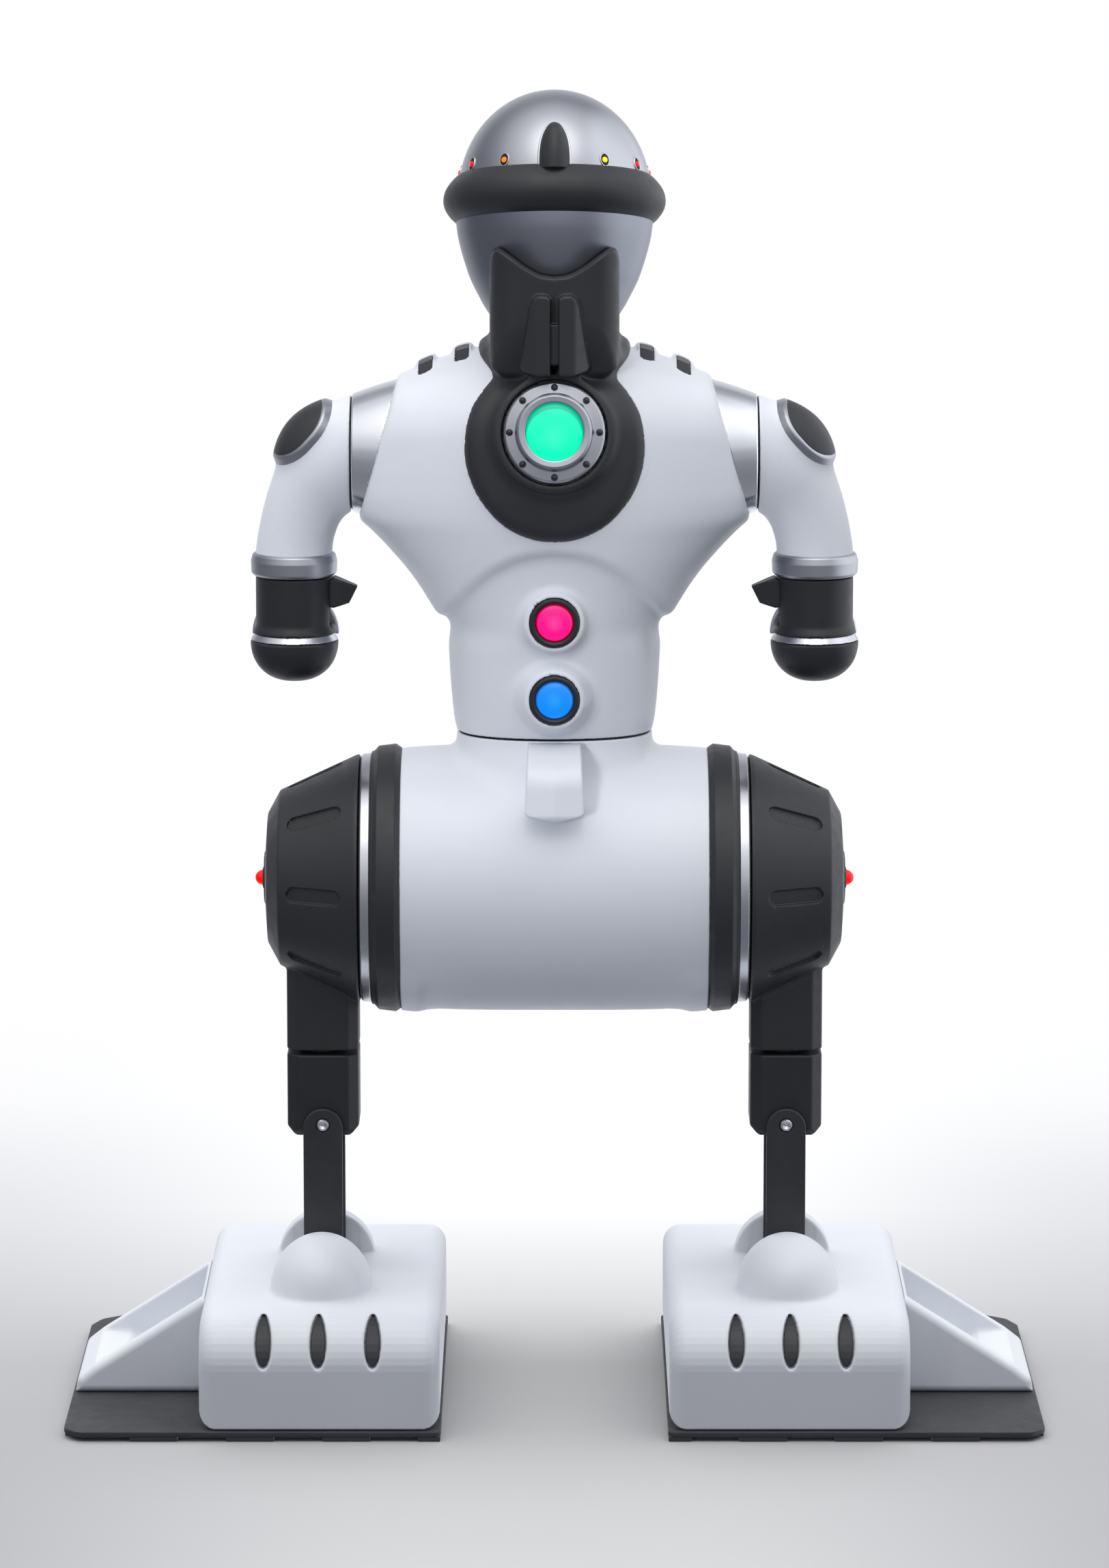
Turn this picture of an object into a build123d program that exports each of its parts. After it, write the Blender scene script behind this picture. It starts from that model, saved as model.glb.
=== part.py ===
from build123d import *
import os
from math import cos, sin, radians, pi, atan2, degrees

os.makedirs("parts", exist_ok=True)

# ---------------------------------------------------------------- driving dimensions (mm)
FLOOR = 0.0
LEG_X = 78.2            # leg centre line from the middle plane
# feet
FOOT_IN, FOOT_OUT = 38.0, 117.9      # inner and outer face of the foot block
FOOT_FRONT, FOOT_BACK = -76.0, 72.0
FOOT_TOP = 41.4
PLATE_T = 3.4           # sole plate with its treads
PLATE_OUT = 162.8
# ankle and shin
ANKLE_Z = 45.6
KNEE_Z = 93.2
SHIN_W = 13.2
# thigh
BLOCK_W, BLOCK_D = 24.2, 26.0
YAW_GAP_TOP, YAW_GAP_BOT = 118.3, 116.7
BLOCK_BOT = 88.6
# hips
HIP_Z = 175.4
BARREL_R, BARREL_MID, BARREL_X = 43.6, 45.0, 51.6
BEZEL_R, BEZEL_X = 44.6, 61.4
RING_R, RING_X = 41.4, 65.1
HOUSE_X0, HOUSE_R0 = 65.5, 41.4
HOUSE_X1, HOUSE_R1 = 92.6, 29.4
HOUSE_X2, HOUSE_R2 = 96.4, 21.0
# torso
WAIST_Z = 226.3
WAIST_A, WAIST_B = 32.7, 24.5
SHOULDER_Z = 319.8
SLEEVE_R0, SLEEVE_R1 = 24.4, 19.6
SLEEVE_X0, SLEEVE_X1 = 52.6, 67.5
WALL = 2.4
# arms
ARM_X = 87.2
ARM_X0 = 67.9
ARM_R = 12.9
WRIST_TOP, WRIST_BOT = 286.3, 278.6
# head
HEAD_C = (0, 0, 403.9)
HEAD_TILT = 12.0
LED_AZ = (32, 61, 90)
# buttons
BTN_Z1, BTN_Z2 = 267.5, 241.6
BTN_R = 6.2

HEAD = Location(HEAD_C) * Rotation(-HEAD_TILT, 0, 0)


# ---------------------------------------------------------------- helpers
def save(name, *solids):
    out = []
    for s in solids:
        out += list(s.solids())
    shape = out[0] if len(out) == 1 else Compound(children=out)
    export_step(shape, "parts/" + name + ".step")


def both(name, shape, *more):
    """One node for each side: the shape on the -X side as drawn, and its mirror on the +X side."""
    save(name + "_l", shape, *more)
    save(name + "_r", *[mirror(s, about=Plane.YZ) for s in (shape, *more)])


def pair(name, *shapes):
    save(name, *shapes, *[mirror(s, about=Plane.YZ) for s in shapes])


def cyl(axis, r, a, b, c=(0, 0)):
    """Cylinder along an axis between a and b. c is its centre in the other two axes, in X, Y, Z order."""
    h = abs(b - a)
    m = (a + b) / 2
    if axis == "x":
        return Pos(m, c[0], c[1]) * Rotation(0, 90, 0) * Cylinder(r, h)
    if axis == "y":
        return Pos(c[0], m, c[1]) * Rotation(90, 0, 0) * Cylinder(r, h)
    return Pos(c[0], c[1], m) * Cylinder(r, h)


def box(x0, x1, y0, y1, z0, z1):
    return Pos((x0 + x1) / 2, (y0 + y1) / 2, (z0 + z1) / 2) * Box(abs(x1 - x0), abs(y1 - y0), abs(z1 - z0))


def rbox(x0, x1, y0, y1, z0, z1, r, axis=None):
    b = box(x0, x1, y0, y1, z0, z1)
    e = b.edges() if axis is None else b.edges().filter_by(axis)
    return fillet(e, r)


def oval(a, b, z, n=2.4, cy=0.0, count=28):
    """Rounded section in a level plane: half width a, half depth b."""
    pts = []
    for i in range(count):
        t = 2 * pi * (i + 0.5) / count
        cx, sy = cos(t), sin(t)
        pts.append((a * (abs(cx) ** (2 / n)) * (1 if cx > 0 else -1),
                    cy + b * (abs(sy) ** (2 / n)) * (1 if sy > 0 else -1), z))
    return Face(Wire([Spline(*pts, periodic=True)]))


def turned_x(pts, z=HIP_Z):
    """A solid turned about the X axis line at height z: points are (x, r)."""
    f = make_face(Polyline(*[(x, r) for x, r in pts], close=True))
    s = revolve(f, axis=Axis.X)
    return Pos(0, 0, z) * s


def turned_h(pts, smooth=None):
    """A solid turned about the head's own axis: points are (r, h)."""
    f = make_face(Polyline(*[(r, 0, h) for r, h in pts], close=True))
    return revolve(f, axis=Axis.Z)


def ball(a, b, c, pos):
    """Ellipsoid with half axes a, b, c."""
    return Pos(*pos) * scale(Sphere(1), by=(a, b, c))


def domed(r, y_back, y_front, bulge, z):
    """Round stud about a line along Y at height z, its nose bulging past y_front."""
    f = make_face([Polyline((0, y_front - bulge), (0, y_back), (r, y_back), (r, y_front)),
                   Spline((r, y_front), (r * 0.86, y_front - bulge * 0.45), (r * 0.5, y_front - bulge * 0.83), (0, y_front - bulge),
                          tangents=((0, -1), (-1, 0)))])
    return Pos(0, 0, z) * revolve(f, axis=Axis.Y)


# ---------------------------------------------------------------- pelvis (the root)
def barrel(grow):
    pts = [(-BARREL_X, 0), (-BARREL_X, BARREL_R + grow)]
    n = 12
    for i in range(1, n):
        x = -BARREL_X + 2 * BARREL_X * i / n
        pts.append((x, BARREL_R + grow + (BARREL_MID - BARREL_R) * (1 - (x / BARREL_X) ** 4)))
    f = make_face([Polyline((-BARREL_X, BARREL_R + grow), (-BARREL_X, 0), (BARREL_X, 0), (BARREL_X, BARREL_R + grow)),
                   Spline(*pts[1:], (BARREL_X, BARREL_R + grow))])
    return Pos(0, 0, HIP_Z) * revolve(f, axis=Axis.X)


collar = loft([oval(50.5, 28.5, 205.0), oval(46.5, 26.8, 214.0), oval(40.0, 25.6, 219.6), oval(35.4, 25.0, 223.4), oval(WAIST_A, WAIST_B, WAIST_Z - 0.2)])
pelvis = barrel(0) + collar
inner_barrel = turned_x([(-46.0, 0), (-46.0, 41.0), (46.0, 41.0), (46.0, 0)])
pelvis = pelvis - inner_barrel
pelvis = pelvis - cyl("x", 16.2, -52, -45, (0, HIP_Z)) - cyl("x", 16.2, 52, 45, (0, HIP_Z))
pelvis = pelvis - cyl("z", 8.06, 205, 230)
crest_f = make_face(Polyline((-8.7, -60, 226.0), (8.7, -60, 226.0), (9.9, -60, 205.2), (0, -60, 202.2), (-9.9, -60, 205.2), close=True))
crest_raw = extrude(crest_f, amount=45, dir=(0, 1, 0))
crest_face = make_face(Polyline((0, -30.5, 226.2), (0, -44.5, 213.0), (0, -48.2, 205.0), (0, -46.6, 200.0), (0, -20, 200.0), (0, -20, 226.2), close=True))
crest_side = extrude(crest_face, amount=12, dir=(1, 0, 0)) + extrude(crest_face, amount=12, dir=(-1, 0, 0))
crest = (crest_raw & crest_side) - pelvis - inner_barrel - cyl("z", 8.06, 205, 230)
crest = max(crest.solids(), key=lambda s: s.volume)
save("pelvis_shell", max(pelvis.solids(), key=lambda s: s.volume))
save("pelvis_crest", crest)

bezel = turned_x([(-BARREL_X, 16.2), (-BARREL_X, 44.2), (-53.2, BEZEL_R + 0.6), (-57.6, BEZEL_R + 0.6), (-58.4, 43.6),
                  (-BEZEL_X, 42.6), (-BEZEL_X, 16.2)])
pair("hip_bezels", bezel)
ring = turned_x([(-BEZEL_X, 16.2), (-BEZEL_X, RING_R), (-RING_X + 0.5, RING_R), (-RING_X, RING_R - 0.5), (-RING_X, 16.2)])
pair("hip_rings", ring)
servo = turned_x([(-62.0, 0), (-62.0, 16.2), (-45.9, 16.2), (-45.9, 0)]) + rbox(-45.9, -14, -15, 15, HIP_Z - 12, HIP_Z + 20, 2)
servo = servo - cyl("x", 4.06, -70, -56, (0, HIP_Z))
pair("hip_servos", servo)

# ---------------------------------------------------------------- hips
house = turned_x([(-HOUSE_X0, 0), (-HOUSE_X0, HOUSE_R0 - 0.6), (-HOUSE_X0 - 0.6, HOUSE_R0), (-HOUSE_X0 - 3.4, HOUSE_R0 - 0.6),
                  (-HOUSE_X1, HOUSE_R1), (-HOUSE_X2, HOUSE_R2), (-97.5, 14.5), (-97.6, 0)])
for ang in range(0, 360, 45):
    # shallow slots spaced round the cone, each along the slope
    rm = 36.2
    slope = degrees(atan2(HOUSE_R0 - HOUSE_R1, HOUSE_X1 - HOUSE_X0))
    slot = Rotation(ang + 11, 0, 0) * Pos(-80.0, 0, rm) * Rotation(0, -slope, 0) * fillet(Box(17.6, 5.0, 2.4).edges().filter_by(Axis.Z), 2.0)
    house = house - Pos(0, 0, HIP_Z) * slot
house = house - cyl("x", 2.3, -92, -99, (0, HIP_Z))
upper = chamfer(box(-LEG_X - BLOCK_W / 2, -LEG_X + BLOCK_W / 2, -BLOCK_D / 2, BLOCK_D / 2, YAW_GAP_TOP, 170).edges().filter_by(Axis.Z), 2.4)
house = house + upper - cyl("z", 8.06, 110, YAW_GAP_TOP + 9, (-LEG_X, 0))
hub = cyl("x", 4.0, -HOUSE_X0 - 1, -57.5, (0, HIP_Z))
house = house + hub
both("hip_housing", max(house.solids(), key=lambda s: s.volume))
led_f = make_face([Spline((-100.6, 0), (-100.3, 1.2), (-99.6, 2.1), (-98.0, 2.6), tangents=((0, 1), (1, 0))),
                   Polyline((-98.0, 2.6), (-97.6, 2.6), (-97.6, 2.28), (-92.4, 2.28), (-92.4, 0), (-100.6, 0))])
led = Pos(0, 0, HIP_Z) * revolve(led_f, axis=Axis.X)
both("hip_led", led)

# ---------------------------------------------------------------- thighs
tb = box(-LEG_X - BLOCK_W / 2, -LEG_X + BLOCK_W / 2, -BLOCK_D / 2, BLOCK_D / 2, BLOCK_BOT, YAW_GAP_BOT)
tb = chamfer(tb.edges().filter_by(Axis.Z), 2.4)
tb = chamfer(tb.faces().sort_by(Axis.Z)[0].edges(), 2.2)
tb = tb + cyl("z", 8.0, YAW_GAP_BOT - 1, YAW_GAP_TOP + 8.6, (-LEG_X, 0))
tb = tb - cyl("y", 1.55, -20, 20, (-LEG_X, KNEE_Z))
both("thigh_block", tb)

# ---------------------------------------------------------------- shins
PLATE_Y = 13.3           # inner face of the front and back fork plates
FORK_T = 2.6
def fork_plate(y0, y1):
    p = box(-LEG_X - SHIN_W / 2, -LEG_X + SHIN_W / 2, y0, y1, ANKLE_Z, KNEE_Z - 1)
    p = p + cyl("y", SHIN_W / 2, y0, y1, (-LEG_X, KNEE_Z - 1)) + cyl("y", SHIN_W / 2, y0, y1, (-LEG_X, ANKLE_Z))
    return p
shin = fork_plate(-PLATE_Y - FORK_T, -PLATE_Y) + fork_plate(PLATE_Y, PLATE_Y + FORK_T)
web = box(-LEG_X - SHIN_W / 2 + 1.2, -LEG_X + SHIN_W / 2 - 1.2, -PLATE_Y - 0.2, PLATE_Y + 0.2, 58.0, 81.0)
web = web - box(-LEG_X - SHIN_W / 2 + 3.4, -LEG_X + SHIN_W / 2 - 3.4, -PLATE_Y + 2.0, PLATE_Y - 2.0, 50, 90)
shin = shin + web
for z in (62.0, 68.2, 74.4):
    for y in (-8.0, 0.0, 8.0):
        shin = shin - cyl("x", 1.3, -LEG_X - 10, -LEG_X + 10, (y, z))
shin = shin - cyl("y", 1.55, -20, 20, (-LEG_X, KNEE_Z)) - cyl("y", 2.1, -17, -15.0, (-LEG_X, KNEE_Z)) - cyl("y", 2.1, 17, 15.0, (-LEG_X, KNEE_Z))
shin = shin - cyl("y", 3.06, -20, 20, (-LEG_X, ANKLE_Z))
both("shin_bracket", shin)
screw = cyl("y", 1.5, -15.0, 15.0, (-LEG_X, KNEE_Z)) + cyl("y", 1.95, -15.0, -16.6, (-LEG_X, KNEE_Z)) + cyl("y", 1.95, 15.0, 16.6, (-LEG_X, KNEE_Z))
both("knee_pin", screw)

# ---------------------------------------------------------------- feet
side_f = make_face([Polyline((0, -58.0, FOOT_TOP), (0, 64.0, FOOT_TOP)),
                    ThreePointArc((0, 64.0, FOOT_TOP), (0, 64.0 + 8 * 0.7071, FOOT_TOP - 8 * 0.2929), (0, FOOT_BACK, FOOT_TOP - 8.0)),
                    Polyline((0, FOOT_BACK, FOOT_TOP - 8.0), (0, FOOT_BACK, PLATE_T), (0, FOOT_FRONT, PLATE_T), (0, FOOT_FRONT, 23.6)),
                    ThreePointArc((0, FOOT_FRONT, 23.6), (0, -58.0 - 18 * 0.7071, 23.6 + 17.8 * 0.7071), (0, -58.0, FOOT_TOP))])


def foot_block(x0, x1, r):
    b = Pos(x0, 0, 0) * extrude(side_f, amount=x1 - x0, dir=(1, 0, 0))
    ends = [e for f in (b.faces().sort_by(Axis.X)[0], b.faces().sort_by(Axis.X)[-1]) for e in f.edges()
            if e.center().Z > PLATE_T + 0.1]
    return fillet(ends, r)


block = foot_block(-FOOT_OUT, -FOOT_IN, 6.0)
cavity = box(-FOOT_OUT + 3, -FOOT_IN - 3, -54, 60, PLATE_T - 1, FOOT_TOP - 3.2) + box(-FOOT_OUT + 3, -FOOT_IN - 3, -71, -50, PLATE_T - 1, 24)
cavity = cavity - box(-LEG_X - 17, -LEG_X + 17, -48, 28, 24, 60)
ANK_Y = 16.3
ball_f = ball(17.1, 20.5, 18.6, (-LEG_X, -36.0, 42.0)) - box(-150, 0, -ANK_Y, 60, 0, 80)
disc = cyl("y", 16.4, ANK_Y, 24.0, (-LEG_X, 39.2))
disc = chamfer(disc.faces().sort_by(Axis.Y)[0].edges(), 1.2)
knob = (ball_f + disc) - box(-150, 0, -80, 80, -20, 30)
foot = block + knob
well = box(-LEG_X - 12, -LEG_X + 12, -ANK_Y, ANK_Y, 33.5, 60)
foot = foot - cavity - well
foot = foot - cyl("y", 3.0, -26, 26.5, (-LEG_X, ANKLE_Z))
# toe inserts, each in an upright oval pocket on the rounded front edge
toes, pockets = [], []
core = block.moved(Location((0, 2.4, -1.6)))
skin = block.moved(Location((0, 0.5, -0.3)))
for tx in (-96.4, -78.2, -60.2):
    e = Pos(tx, -66, 32.0) * Rotation(90, 0, 0) * extrude(Ellipse(2.55, 7.4), amount=16, both=True)
    e = e - box(-200, 0, -56, 40, 0, 80)
    pockets.append(e - core)
    toes.append((e & skin) - core)
for p in pockets:
    foot = foot - p
foot = max(foot.solids(), key=lambda s: s.volume)
both("foot_shell", foot)
both("toe_inserts", *[max(t.solids(), key=lambda s: s.volume) for t in toes])
pin = cyl("y", 3.0, -26, 26.5, (-LEG_X, ANKLE_Z))
both("ankle_pin", pin)

out_f = make_face(Polyline((-FOOT_OUT, -28, PLATE_T), (-FOOT_OUT, -28, 35.8), (-119.4, -28, 35.4), (-155.2, -28, 12.2),
                           (-160.2, -28, 9.4), (-161.6, -28, 7.4), (-161.9, -28, PLATE_T), close=True))
wedge = extrude(out_f, amount=56, dir=(0, 1, 0))
wedge = fillet([e for e in wedge.edges() if abs(e.length - 56) > 0.5 and e.center().Z > 7 and e.center().X < -FOOT_OUT - 0.5], 1.4)
trough = make_face(Polyline((-FOOT_OUT - 1.6, -21, 60), (-FOOT_OUT - 1.6, -21, 6.5), (-139, -21, 6.5), (-147, -21, 9.6), (-158.0, -21, 9.8), (-158.0, -21, 60), close=True))
wedge = wedge - extrude(trough, amount=42, dir=(0, 1, 0))
wedge = wedge - box(-FOOT_OUT, -FOOT_OUT + 5, -40, 40, 0, 60)
wedge = wedge - block
both("outrigger", max(wedge.solids(), key=lambda s: s.volume))

plate_f = make_face(Polyline((-37.5, -77.5), (-37.5, 77.5), (-151.6, 77.5), (-159.5, 71.5), (-PLATE_OUT, 63.0), (-PLATE_OUT, -73.5), (-158.8, -77.5), close=True))
plate = Pos(0, 0, 1.7) * extrude(plate_f, amount=PLATE_T - 1.7)
for a, b in ((-140.6, -124.8), (-108.7, -92.9), (-76.9, -61.1), (-45.2, -37.5)):
    plate = plate + box(a, b, -77.5, 77.5, 0, 1.8)
plate = plate + box(-PLATE_OUT, -156.4, -70.0, 60.0, 0.0, 1.8)
both("sole_plate", plate)

# ---------------------------------------------------------------- torso
UPPER = [(264.0, 38.4, 31.6), (270.6, 42.3, 33.0), (281.7, 50.0, 35.4), (294.6, 61.6, 38.0), (306, 67.5, 39.4), (320, 66.5, 39.6),
         (333, 63.0, 38.2), (343, 57.0, 35.0), (348.2, 45.8, 30.6), (352.3, 34.8, 25.4), (355.6, 25.0, 19.4)]
LOWER = [(WAIST_Z + 0.3, 32.7, 24.5), (237.0, 34.3, 26.8), (248.0, 35.1, 28.6), (258.0, 35.3, 30.0), (264.6, 36.4, 30.8), (271.0, 39.4, 31.6),
         (281.7, 46.8, 33.4), (293.0, 56.5, 35.6)]


def torso_side_cut(off):
    # everything outside the slanted side planes, moved in by off
    p = [(-64.65 + off, 301.0), (-52.6 + off, 344.2), (-44.0 + off, 375.0), (-120, 375.0), (-120, 255), (-52.0 + off, 255.0)]
    f = make_face(Polyline(*[(x, -80, z) for x, z in p], close=True))
    s = extrude(f, amount=160, dir=(0, 1, 0))
    return s, mirror(s, about=Plane.YZ)


def lofted(rows, cut=0.0, lift=0.0, n=2.4):
    return loft([oval(a - cut, b - cut, z + lift, n) for z, a, b in rows])


arch_pts = [(-41, 264.9), (-36.5, 268.5), (-28.0, 279.0), (-17.0, 287.2), (0, 291.4), (17.0, 287.2), (28.0, 279.0), (36.5, 268.5), (41, 264.9)]
arch_f = make_face([Spline(*[(x, -80, z) for x, z in arch_pts]), Polyline((41, -80, 264.9), (41, -80, 240), (-41, -80, 240), (-41, -80, 264.9))])
arch = extrude(arch_f, amount=160, dir=(0, 1, 0))
upper_t = lofted(UPPER)
for c in torso_side_cut(0.0):
    upper_t = upper_t - c
upper_full = upper_t
upper_t = upper_t - arch
lower_t = lofted(LOWER)
torso = upper_t + lower_t
for z in (BTN_Z1, BTN_Z2):
    yb = -30.5 if z == BTN_Z1 else -27.6
    boss = Pos(0, (yb - 34.4) / 2 + 1.5, z) * Rotation(90, 0, 0) * Cone(12.6, 9.4, 34.4 + yb + 3.0)
    torso = torso + boss
inner = lofted(UPPER, WALL + 0.6)
for c in torso_side_cut(WALL + 0.4):
    inner = inner - c
inner = inner - box(-90, 90, -60, 60, 350.5, 380) - arch
inner = inner + lofted(LOWER, WALL + 0.2) - box(-80, 80, -60, 60, 200, WAIST_Z + 3.3)
torso_solid = torso
rib_pos = ((-30.6, 351.4), (-42.8, 346.6))
ribs = []
for sx in (-1, 1):
    for rx, rz in rib_pos:
        b = rbox(rx - 3.4, rx + 3.4, -17.0, 17.0, rz - 8, rz + 2.6, 2.2)
        r = rbox(rx - 2.0, rx + 2.0, -17.8, 17.8, rz - 5, rz + 4.6, 1.8)
        if sx > 0:
            b, r = mirror(b, about=Plane.YZ), mirror(r, about=Plane.YZ)
        torso_solid = torso_solid + b - r
        ribs.append(r - inner)
torso = torso_solid - inner

# shield and neck yoke, one dark piece on the chest
bowl_pts = [(32.7, -7.0), (31.9, -12.7), (30.8, -17.2), (29.4, -21.8), (27.8, -26.3), (25.6, -30.8), (23.1, -35.4), (19.8, -40.0), (15.0, -44.6), (9.0, -47.9), (0, -49.4)]


def bowl(grow, top=-7.0):
    pts = [(r + grow * (0.0 if r == 0 else 1.0), 0, h - grow * (1 - r / 34)) for r, h in bowl_pts]
    f = make_face([Spline(*pts), Polyline(pts[-1], (0, 0, top), (pts[0][0], 0, top), pts[0])]) if top > pts[0][2] else \
        make_face([Spline(*pts), Polyline(pts[-1], (0, 0, pts[0][2]), pts[0])])
    return revolve(f, axis=Axis.Z)


clear_bowl = HEAD * bowl(0.7, 8.0)
m_pts = [(-21.3, 330), (-21.3, 389.0), (-20.8, 391.4), (-19.4, 392.6), (-17.6, 392.2), (-15.0, 390.2), (-9.4, 386.4), (-4.6, 383.9), (0, 383.2)]
m_pts = m_pts + [(-x, z) for x, z in reversed(m_pts[:-1])]
m_f = make_face(Polyline(*[(x, -70, z) for x, z in m_pts], close=True))
neck = rbox(-21.3, 21.3, -41.0, 22.0, 335, 400, 9.0, Axis.Z) & extrude(m_f, amount=120, dir=(0, 1, 0))
neck = neck - box(-40, 40, -6, 60, 371, 420)
neck = neck + loft([oval(29.5, 29.0, 344.0, 2.6, -9.0), oval(25.2, 27.0, 352.0, 2.6, -10.5), oval(23.6, 26.6, 358.5, 2.6, -11.0)])
for s in (-1, 1):
    fx = s * 5.3
    fin = box(fx - 3.0, fx + 3.0, -47.0, -36.0, 350, 377.6)
    fin = chamfer(fin.faces().sort_by(Axis.Z)[-1].edges().sort_by(Axis.Y)[0], 5.0)
    neck = neck + fin
neck = neck + box(-2.5, 2.5, -43.5, -36, 352, 367.5)
egg_f = make_face(Spline((0, -60, 296.4), (11.5, -60, 298.8), (21.3, -60, 306.0), (27.6, -60, 316.4), (29.5, -60, 328.0), (27.0, -60, 339.0), (20.5, -60, 348.0), (10.0, -60, 353.0),
                         (0, -60, 354.2), (-10.0, -60, 353.0), (-20.5, -60, 348.0), (-27.0, -60, 339.0), (-29.5, -60, 328.0), (-27.6, -60, 316.4), (-21.3, -60, 306.0), (-11.5, -60, 298.8), periodic=True))
egg = extrude(egg_f, amount=50, dir=(0, 1, 0))
shield_skin = loft([oval(a + 3.0, b + 3.0, z, 2.4) for z, a, b in ((285, 56, 37.5), (294.6, 61.6, 38.4), (306, 67.5, 40.0), (320, 66.5, 40.6), (333, 63.0, 40.0), (343, 57.0, 38.6), (356, 45.8, 36.6))])
shield = egg & shield_skin
yoke = neck + shield
yoke = yoke - torso_solid - inner - clear_bowl - cyl("y", 17.0, -42.2, -60, (0, 330.6))
yoke = yoke - (HEAD * cyl("z", 5.06, -62, -44))
yoke = max(yoke.solids(), key=lambda s: s.volume)
save("chest_yoke", yoke)

RZ = 330.6
flange = cyl("y", 16.9, -42.2, -45.0, (0, RZ))
flange = chamfer(flange.faces().sort_by(Axis.Y)[0].edges(), 0.9)
flange = flange + cyl("y", 12.8, -44.5, -48.6, (0, RZ)) - cyl("y", 9.9, -43.4, -60, (0, RZ))
bolts = []
for k in range(8):
    a = radians(45 * k + 90)
    c = (14.6 * cos(a), RZ + 14.6 * sin(a))
    flange = flange - cyl("y", 1.0, -43.0, -46, c)
    bolts.append(cyl("y", 1.0, -43.0, -45.4, c) + cyl("y", 1.35, -45.0, -45.8, c))
save("lamp_ring", flange)
save("lamp_bolts", *bolts)
lens = domed(9.8, -43.4, -47.6, 2.6, RZ)
save("lamp_lens", lens)

# sleeves between the slanted torso sides and the arms
sleeve = Pos(-(SLEEVE_X0 - 4 + SLEEVE_X1) / 2, 0, SHOULDER_Z) * Rotation(0, -90, 0) * Cone(SLEEVE_R0 + 1.28, SLEEVE_R1, SLEEVE_X1 - SLEEVE_X0 + 4)
hollow = cyl("x", 16.5, -45, -SLEEVE_X1 + 3.0, (0, SHOULDER_Z))
keep, _ = torso_side_cut(0.0)
sleeve = (sleeve & keep) - hollow - cyl("x", 5.06, -50, -75, (0, SHOULDER_Z))
sleeve = max(sleeve.solids(), key=lambda s: s.volume)
pair("shoulder_sleeves", sleeve)
mot = cyl("x", 12.5, -60.0, -44.0, (0, SHOULDER_Z)) - cyl("x", 5.06, -56, -62, (0, SHOULDER_Z))
mot_hole = cyl("x", 12.5, -70.0, -44.0, (0, SHOULDER_Z))
torso = torso - mot_hole - mirror(mot_hole, about=Plane.YZ)
pair("shoulder_servos", mot)

# buttons: bezel, and a cap that presses in
for z in (BTN_Z1, BTN_Z2):
    torso = torso - cyl("y", 8.3, -45, -24.0 if z == BTN_Z1 else -22.0, (0, z))
bez = []
for z in (BTN_Z1, BTN_Z2):
    d = cyl("y", 8.3, -27.0, -35.6, (0, z))
    d = chamfer(d.faces().sort_by(Axis.Y)[0].edges(), 0.8)
    bez.append(d - cyl("y", BTN_R + 0.08, -20, -50, (0, z)))
save("button_bezels", *bez)
for name, z in (("button_magenta", BTN_Z1), ("button_blue", BTN_Z2)):
    save(name, domed(BTN_R, -27.6, -35.2, 1.7, z))

# waist spindle, drive and electronics inside the torso
spin = cyl("z", 8.0, 207.5, WAIST_Z + 4.0, (0, 0)) + cyl("z", 14.0, WAIST_Z + 3.3, WAIST_Z + 6, (0, 0))
torso_low_hole = cyl("z", 8.0, 220, WAIST_Z + 3.4, (0, 0))
torso = torso - torso_low_hole
save("waist_spindle", spin + rbox(-16, 16, -10, 10, WAIST_Z + 6.0, WAIST_Z + 28, 1.5))
save("battery_pack", rbox(-24, 24, 0.5, 19.5, 262, 300, 3.0))
board = box(-26, 26, -8.6, -7.0, 262, 336)
for x in (-20, 20):
    for z in (268, 330):
        board = board - cyl("y", 1.6, -10, -5, (x, z))
board = board + box(-9, 9, -10.4, -8.6, 296, 314) + box(-22, -14, -7.0, -2.0, 318, 328) + box(12, 22, -11.6, -8.6, 272, 280)
save("main_board", board)

# rear battery door, flush in the back of the belly
door_cut = rbox(-15.5, 15.5, 10, 60, 240, 275, 3.0, Axis.Y)
door = rbox(-15.3, 15.3, 10, 60, 240.2, 274.8, 3.0, Axis.Y) & lower_t & torso_solid
door = door - lofted(LOWER, WALL + 0.2)
door = max(door.solids(), key=lambda s: s.volume)
torso = torso - door_cut
save("battery_door", door)

torso = torso - (HEAD * cyl("z", 6.5, -66, -40)) - (HEAD * bowl(1.0, 8.0))
front_half = torso - box(-120, 120, 0.0, 90, 200, 400)
rear_half = torso - box(-120, 120, -90, 0.0, 200, 400)
save("torso_front_shell", max(front_half.solids(), key=lambda s: s.volume))
save("torso_rear_shell", max(rear_half.solids(), key=lambda s: s.volume))
save("rib_inserts", *[max((r - upper_t).solids(), key=lambda s: s.volume) for r in ribs])

# ---------------------------------------------------------------- arms
# the elbow's sections, each a circle whose diameter runs from an inner to an outer point (x, z)
INNER = [(-ARM_X0, 300.3), (-70.0, 298.7), (-73.2, 292.9), (-ARM_X + ARM_R, WRIST_TOP)]
OUTER = [(-ARM_X0, 339.3), (-81.2, 331.2), (-93.4, 313.6), (-ARM_X - ARM_R, WRIST_TOP)]


def arm_loft(dr):
    secs = []
    for (xi, zi), (xo, zo) in zip(INNER, OUTER):
        dx, dz = xo - xi, zo - zi
        d = (dx * dx + dz * dz) ** 0.5
        pl = Plane(origin=((xi + xo) / 2, 0, (zi + zo) / 2), x_dir=(0, 1, 0), z_dir=(-dz / d, 0, dx / d))
        secs.append(Face(Wire([pl.location * Edge.make_circle(d / 2 - dr)])))
    return loft(secs)


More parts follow.
